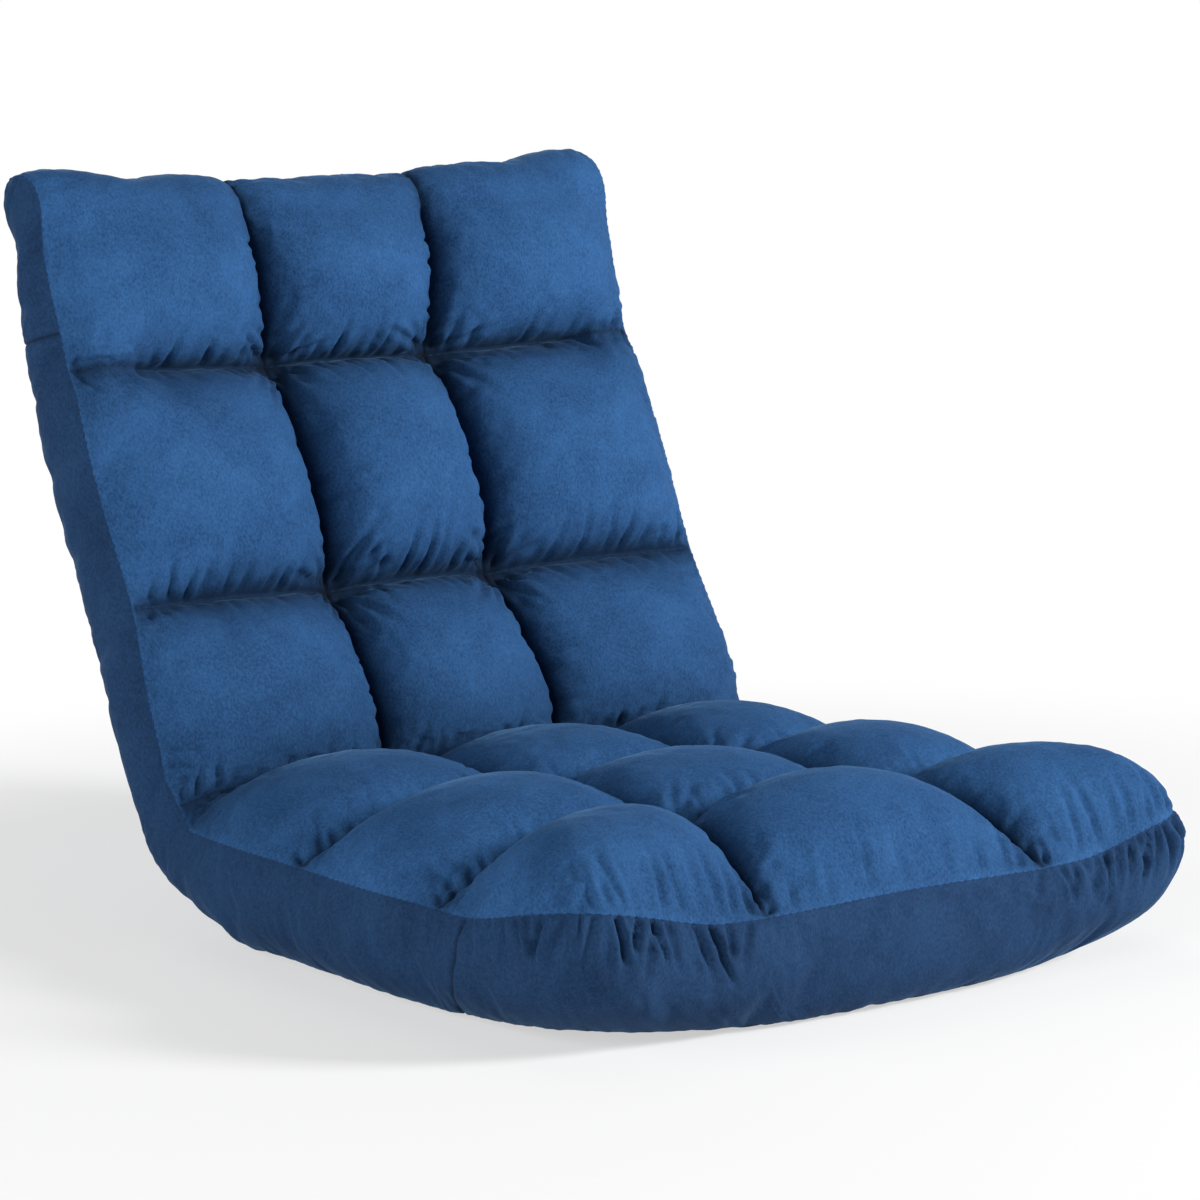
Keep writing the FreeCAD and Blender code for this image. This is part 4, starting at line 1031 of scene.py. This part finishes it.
def sewn_lines(low, high):
    """Cover point numbers along every seam between two rows of strip crossings."""
    crease = int(np.sum(row_strips[:3]))
    crossings = np.where(sewn_column)[0]
    rows = [k for k in np.where(sewn_row)[0] if low <= k <= high]
    breaks = sorted({low, high, *rows})
    lines = [panel_index[k, i:j + 1] for k in rows if k != crease
             for i, j in zip(crossings[:-1], crossings[1:])]
    lines += [panel_index[k:j + 1, i] for i in crossings for k, j in zip(breaks[:-1], breaks[1:])]
    right_side = np.arange(count_along)
    left_side = np.arange(count_along + count_across - 2, ring_count - count_across + 2)
    for ring_side in (right_side, left_side):
        between = (ring_k[ring_side] >= low) & (ring_k[ring_side] <= high)
        lines.append(strip_index[ring_side[between], -1])
    return lines


seat_thread = sew("seat_and_lower_back_stitches", sewn_lines(0, middle_seam))
head_thread = sew("upper_back_and_head_stitches", sewn_lines(middle_seam + 1, count_along - 1))
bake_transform(seat_thread)
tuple(fold_start)
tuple(fold_end)
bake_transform(head_thread)
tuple(neck_start)
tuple(neck_end)


# Zip: a nylon coil zip across the lower rear panel, through which the cover is put on. Woven tape is sewn
# to the velvet, the coil is sewn to the tape, and a small die-cast slider without a tab runs along it.
zip_low, zip_high = (np.array(corner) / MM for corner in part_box("zip_coil"))
tooth_pitch, tooth_length = 2.4, 1.7
coil_width, coil_height = 5.0, 1.6
tooth_offset, tooth_span = 0.12, 0.76
tooth_rings = ((-0.5, 0.7), (-0.3, 1.0), (0.3, 1.0), (0.5, 0.7))
tooth_section = ((-0.5, -0.5), (-0.5, 0.05), (-0.36, 0.36), (-0.16, 0.5),
                 (0.16, 0.5), (0.36, 0.36), (0.5, 0.05), (0.5, -0.5))
rear_thinning = 4.0
rear_slope = back_lean - math.atan2(rear_thinning, back_run)
zip_along = np.array([0.0, math.sin(rear_slope), math.cos(rear_slope)])
zip_out = np.array([0.0, math.cos(rear_slope), -math.sin(rear_slope)])
zip_middle = np.array([0.0, (zip_low[1] + zip_high[1]) / 2.0, (zip_low[2] + zip_high[2]) / 2.0])
coil_points, coil_faces = [], []
for tooth, tooth_x in enumerate(np.arange(zip_low[0] + tooth_pitch / 2.0, zip_high[0], tooth_pitch / 2.0)):
    half_side = 1.0 if tooth % 2 else -1.0
    coil_faces += rod_faces(len(coil_points), len(tooth_rings), len(tooth_section), turned=True)
    for step, girth in tooth_rings:
        for along, out in tooth_section:
            coil_points.append(((
                zip_middle + np.array([tooth_x + step * tooth_length, 0.0, 0.0])
                + zip_along * (half_side * tooth_offset + along * girth * tooth_span) * coil_width
                + zip_out * out * girth * coil_height) * MM).tolist())
coil_mesh = bpy.data.meshes.new("zip_teeth")
coil_mesh.from_pydata(coil_points, [], coil_faces)
coil = put_in_scene("zip_teeth", coil_mesh)

# nylon coil: smooth moulded plastic, navy, with small bright glints
nylon_patch = 0.004
nylon, nylon_tree, nylon_output = new_material("moulded_nylon")
nylon_place = add_node(nylon_tree, "ShaderNodeTexCoord").outputs["Object"]
nylon_cloud = add_node(nylon_tree, "ShaderNodeTexNoise", [
    ("Vector", nylon_place), ("Scale", 1.0 / nylon_patch)])
nylon_colour = add_node(nylon_tree, "ShaderNodeMix", [
    (0, nylon_cloud.outputs["Fac"]), (6, colour("#0d2038")), (7, colour("#183456"))], data_type="RGBA")
nylon_skin = add_node(nylon_tree, "ShaderNodeBsdfPrincipled", [
    ("Base Color", nylon_colour.outputs[2]), ("Roughness", 0.38), ("IOR", 1.53)])
nylon_tree.links.new(nylon_skin.outputs[0], nylon_output.inputs["Surface"])
coil_mesh.materials.append(nylon)
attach(coil, "back")
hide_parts("zip_coil")

# woven tape is matt with a fine twill, drawn coarser than it is to show; the cast slider is dull and dark
tape_weave = woven_band("woven_polyester_tape", "#0e2340", "#1a3a63", 0.0024, 0.0, 0.8, 0.4, 0.0003)
slider_cast = clouded_metal("blackened_zinc_casting", "#2a2c30", "#4a4d52", 0.32, 0.48, 0.003)
dress(tape_weave, "zip_tape")
dress(slider_cast, "zip_slider")


# Underside cloth: a panel of black non-slip cloth under the seat, bonded from fibre with rows of
# raised dots, and sewn to the lower edge of the velvet strip.
under_level = -0.4
under_points = rear_place(face_x[:ramp_row + 1], face_run[:ramp_row + 1])
under_points[..., 2] = under_level
under_index = np.arange(under_points.shape[0] * under_points.shape[1]).reshape(under_points.shape[:2])
under_mesh = bpy.data.meshes.new("underside_cloth")
under_mesh.from_pydata(
    (under_points.reshape(-1, 3) * MM).tolist(), [], lattice_quads(under_index)[:, ::-1].tolist())
under_mesh.polygons.foreach_set("use_smooth", [True] * len(under_mesh.polygons))
underside = put_in_scene("underside_cloth", under_mesh)

# bonded fibre is dead matt; its rubbery dots, 6 mm apart, are a little smoother and paler
dot_pitch = 0.006
non_slip, non_slip_tree, non_slip_output = new_material("bonded_fibre_cloth")
non_slip_place = add_node(non_slip_tree, "ShaderNodeTexCoord").outputs["Object"]
non_slip_dots = add_node(non_slip_tree, "ShaderNodeTexVoronoi", [
    ("Vector", non_slip_place), ("Scale", 1.0 / dot_pitch), ("Randomness", 0.0)])
non_slip_dot = add_node(non_slip_tree, "ShaderNodeMapRange", [
    ("Value", non_slip_dots.outputs["Distance"]), ("From Min", 0.22), ("From Max", 0.3),
    ("To Min", 1.0), ("To Max", 0.0)])
non_slip_colour = add_node(non_slip_tree, "ShaderNodeMix", [
    (0, non_slip_dot.outputs["Result"]), (6, colour("#17181b")), (7, colour("#2b2d31"))], data_type="RGBA")
non_slip_rough = add_node(non_slip_tree, "ShaderNodeMapRange", [
    ("Value", non_slip_dot.outputs["Result"]), ("To Min", 0.92), ("To Max", 0.55)])
non_slip_bump = add_node(non_slip_tree, "ShaderNodeBump", [
    ("Height", non_slip_dot.outputs["Result"]), ("Strength", 0.6), ("Distance", 0.0005)])
non_slip_fibre = add_node(non_slip_tree, "ShaderNodeBsdfPrincipled", [
    ("Base Color", non_slip_colour.outputs[2]), ("Roughness", non_slip_rough.outputs["Result"]),
    ("Specular IOR Level", 0.3), ("Normal", non_slip_bump.outputs[0])])
non_slip_tree.links.new(non_slip_fibre.outputs[0], non_slip_output.inputs["Surface"])
under_mesh.materials.append(non_slip)
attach(underside, "seat")
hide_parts("seat_underside")
under_size = [max(c) - min(c) for c in list(zip(*[v.co for v in under_mesh.vertices]))[:2]]
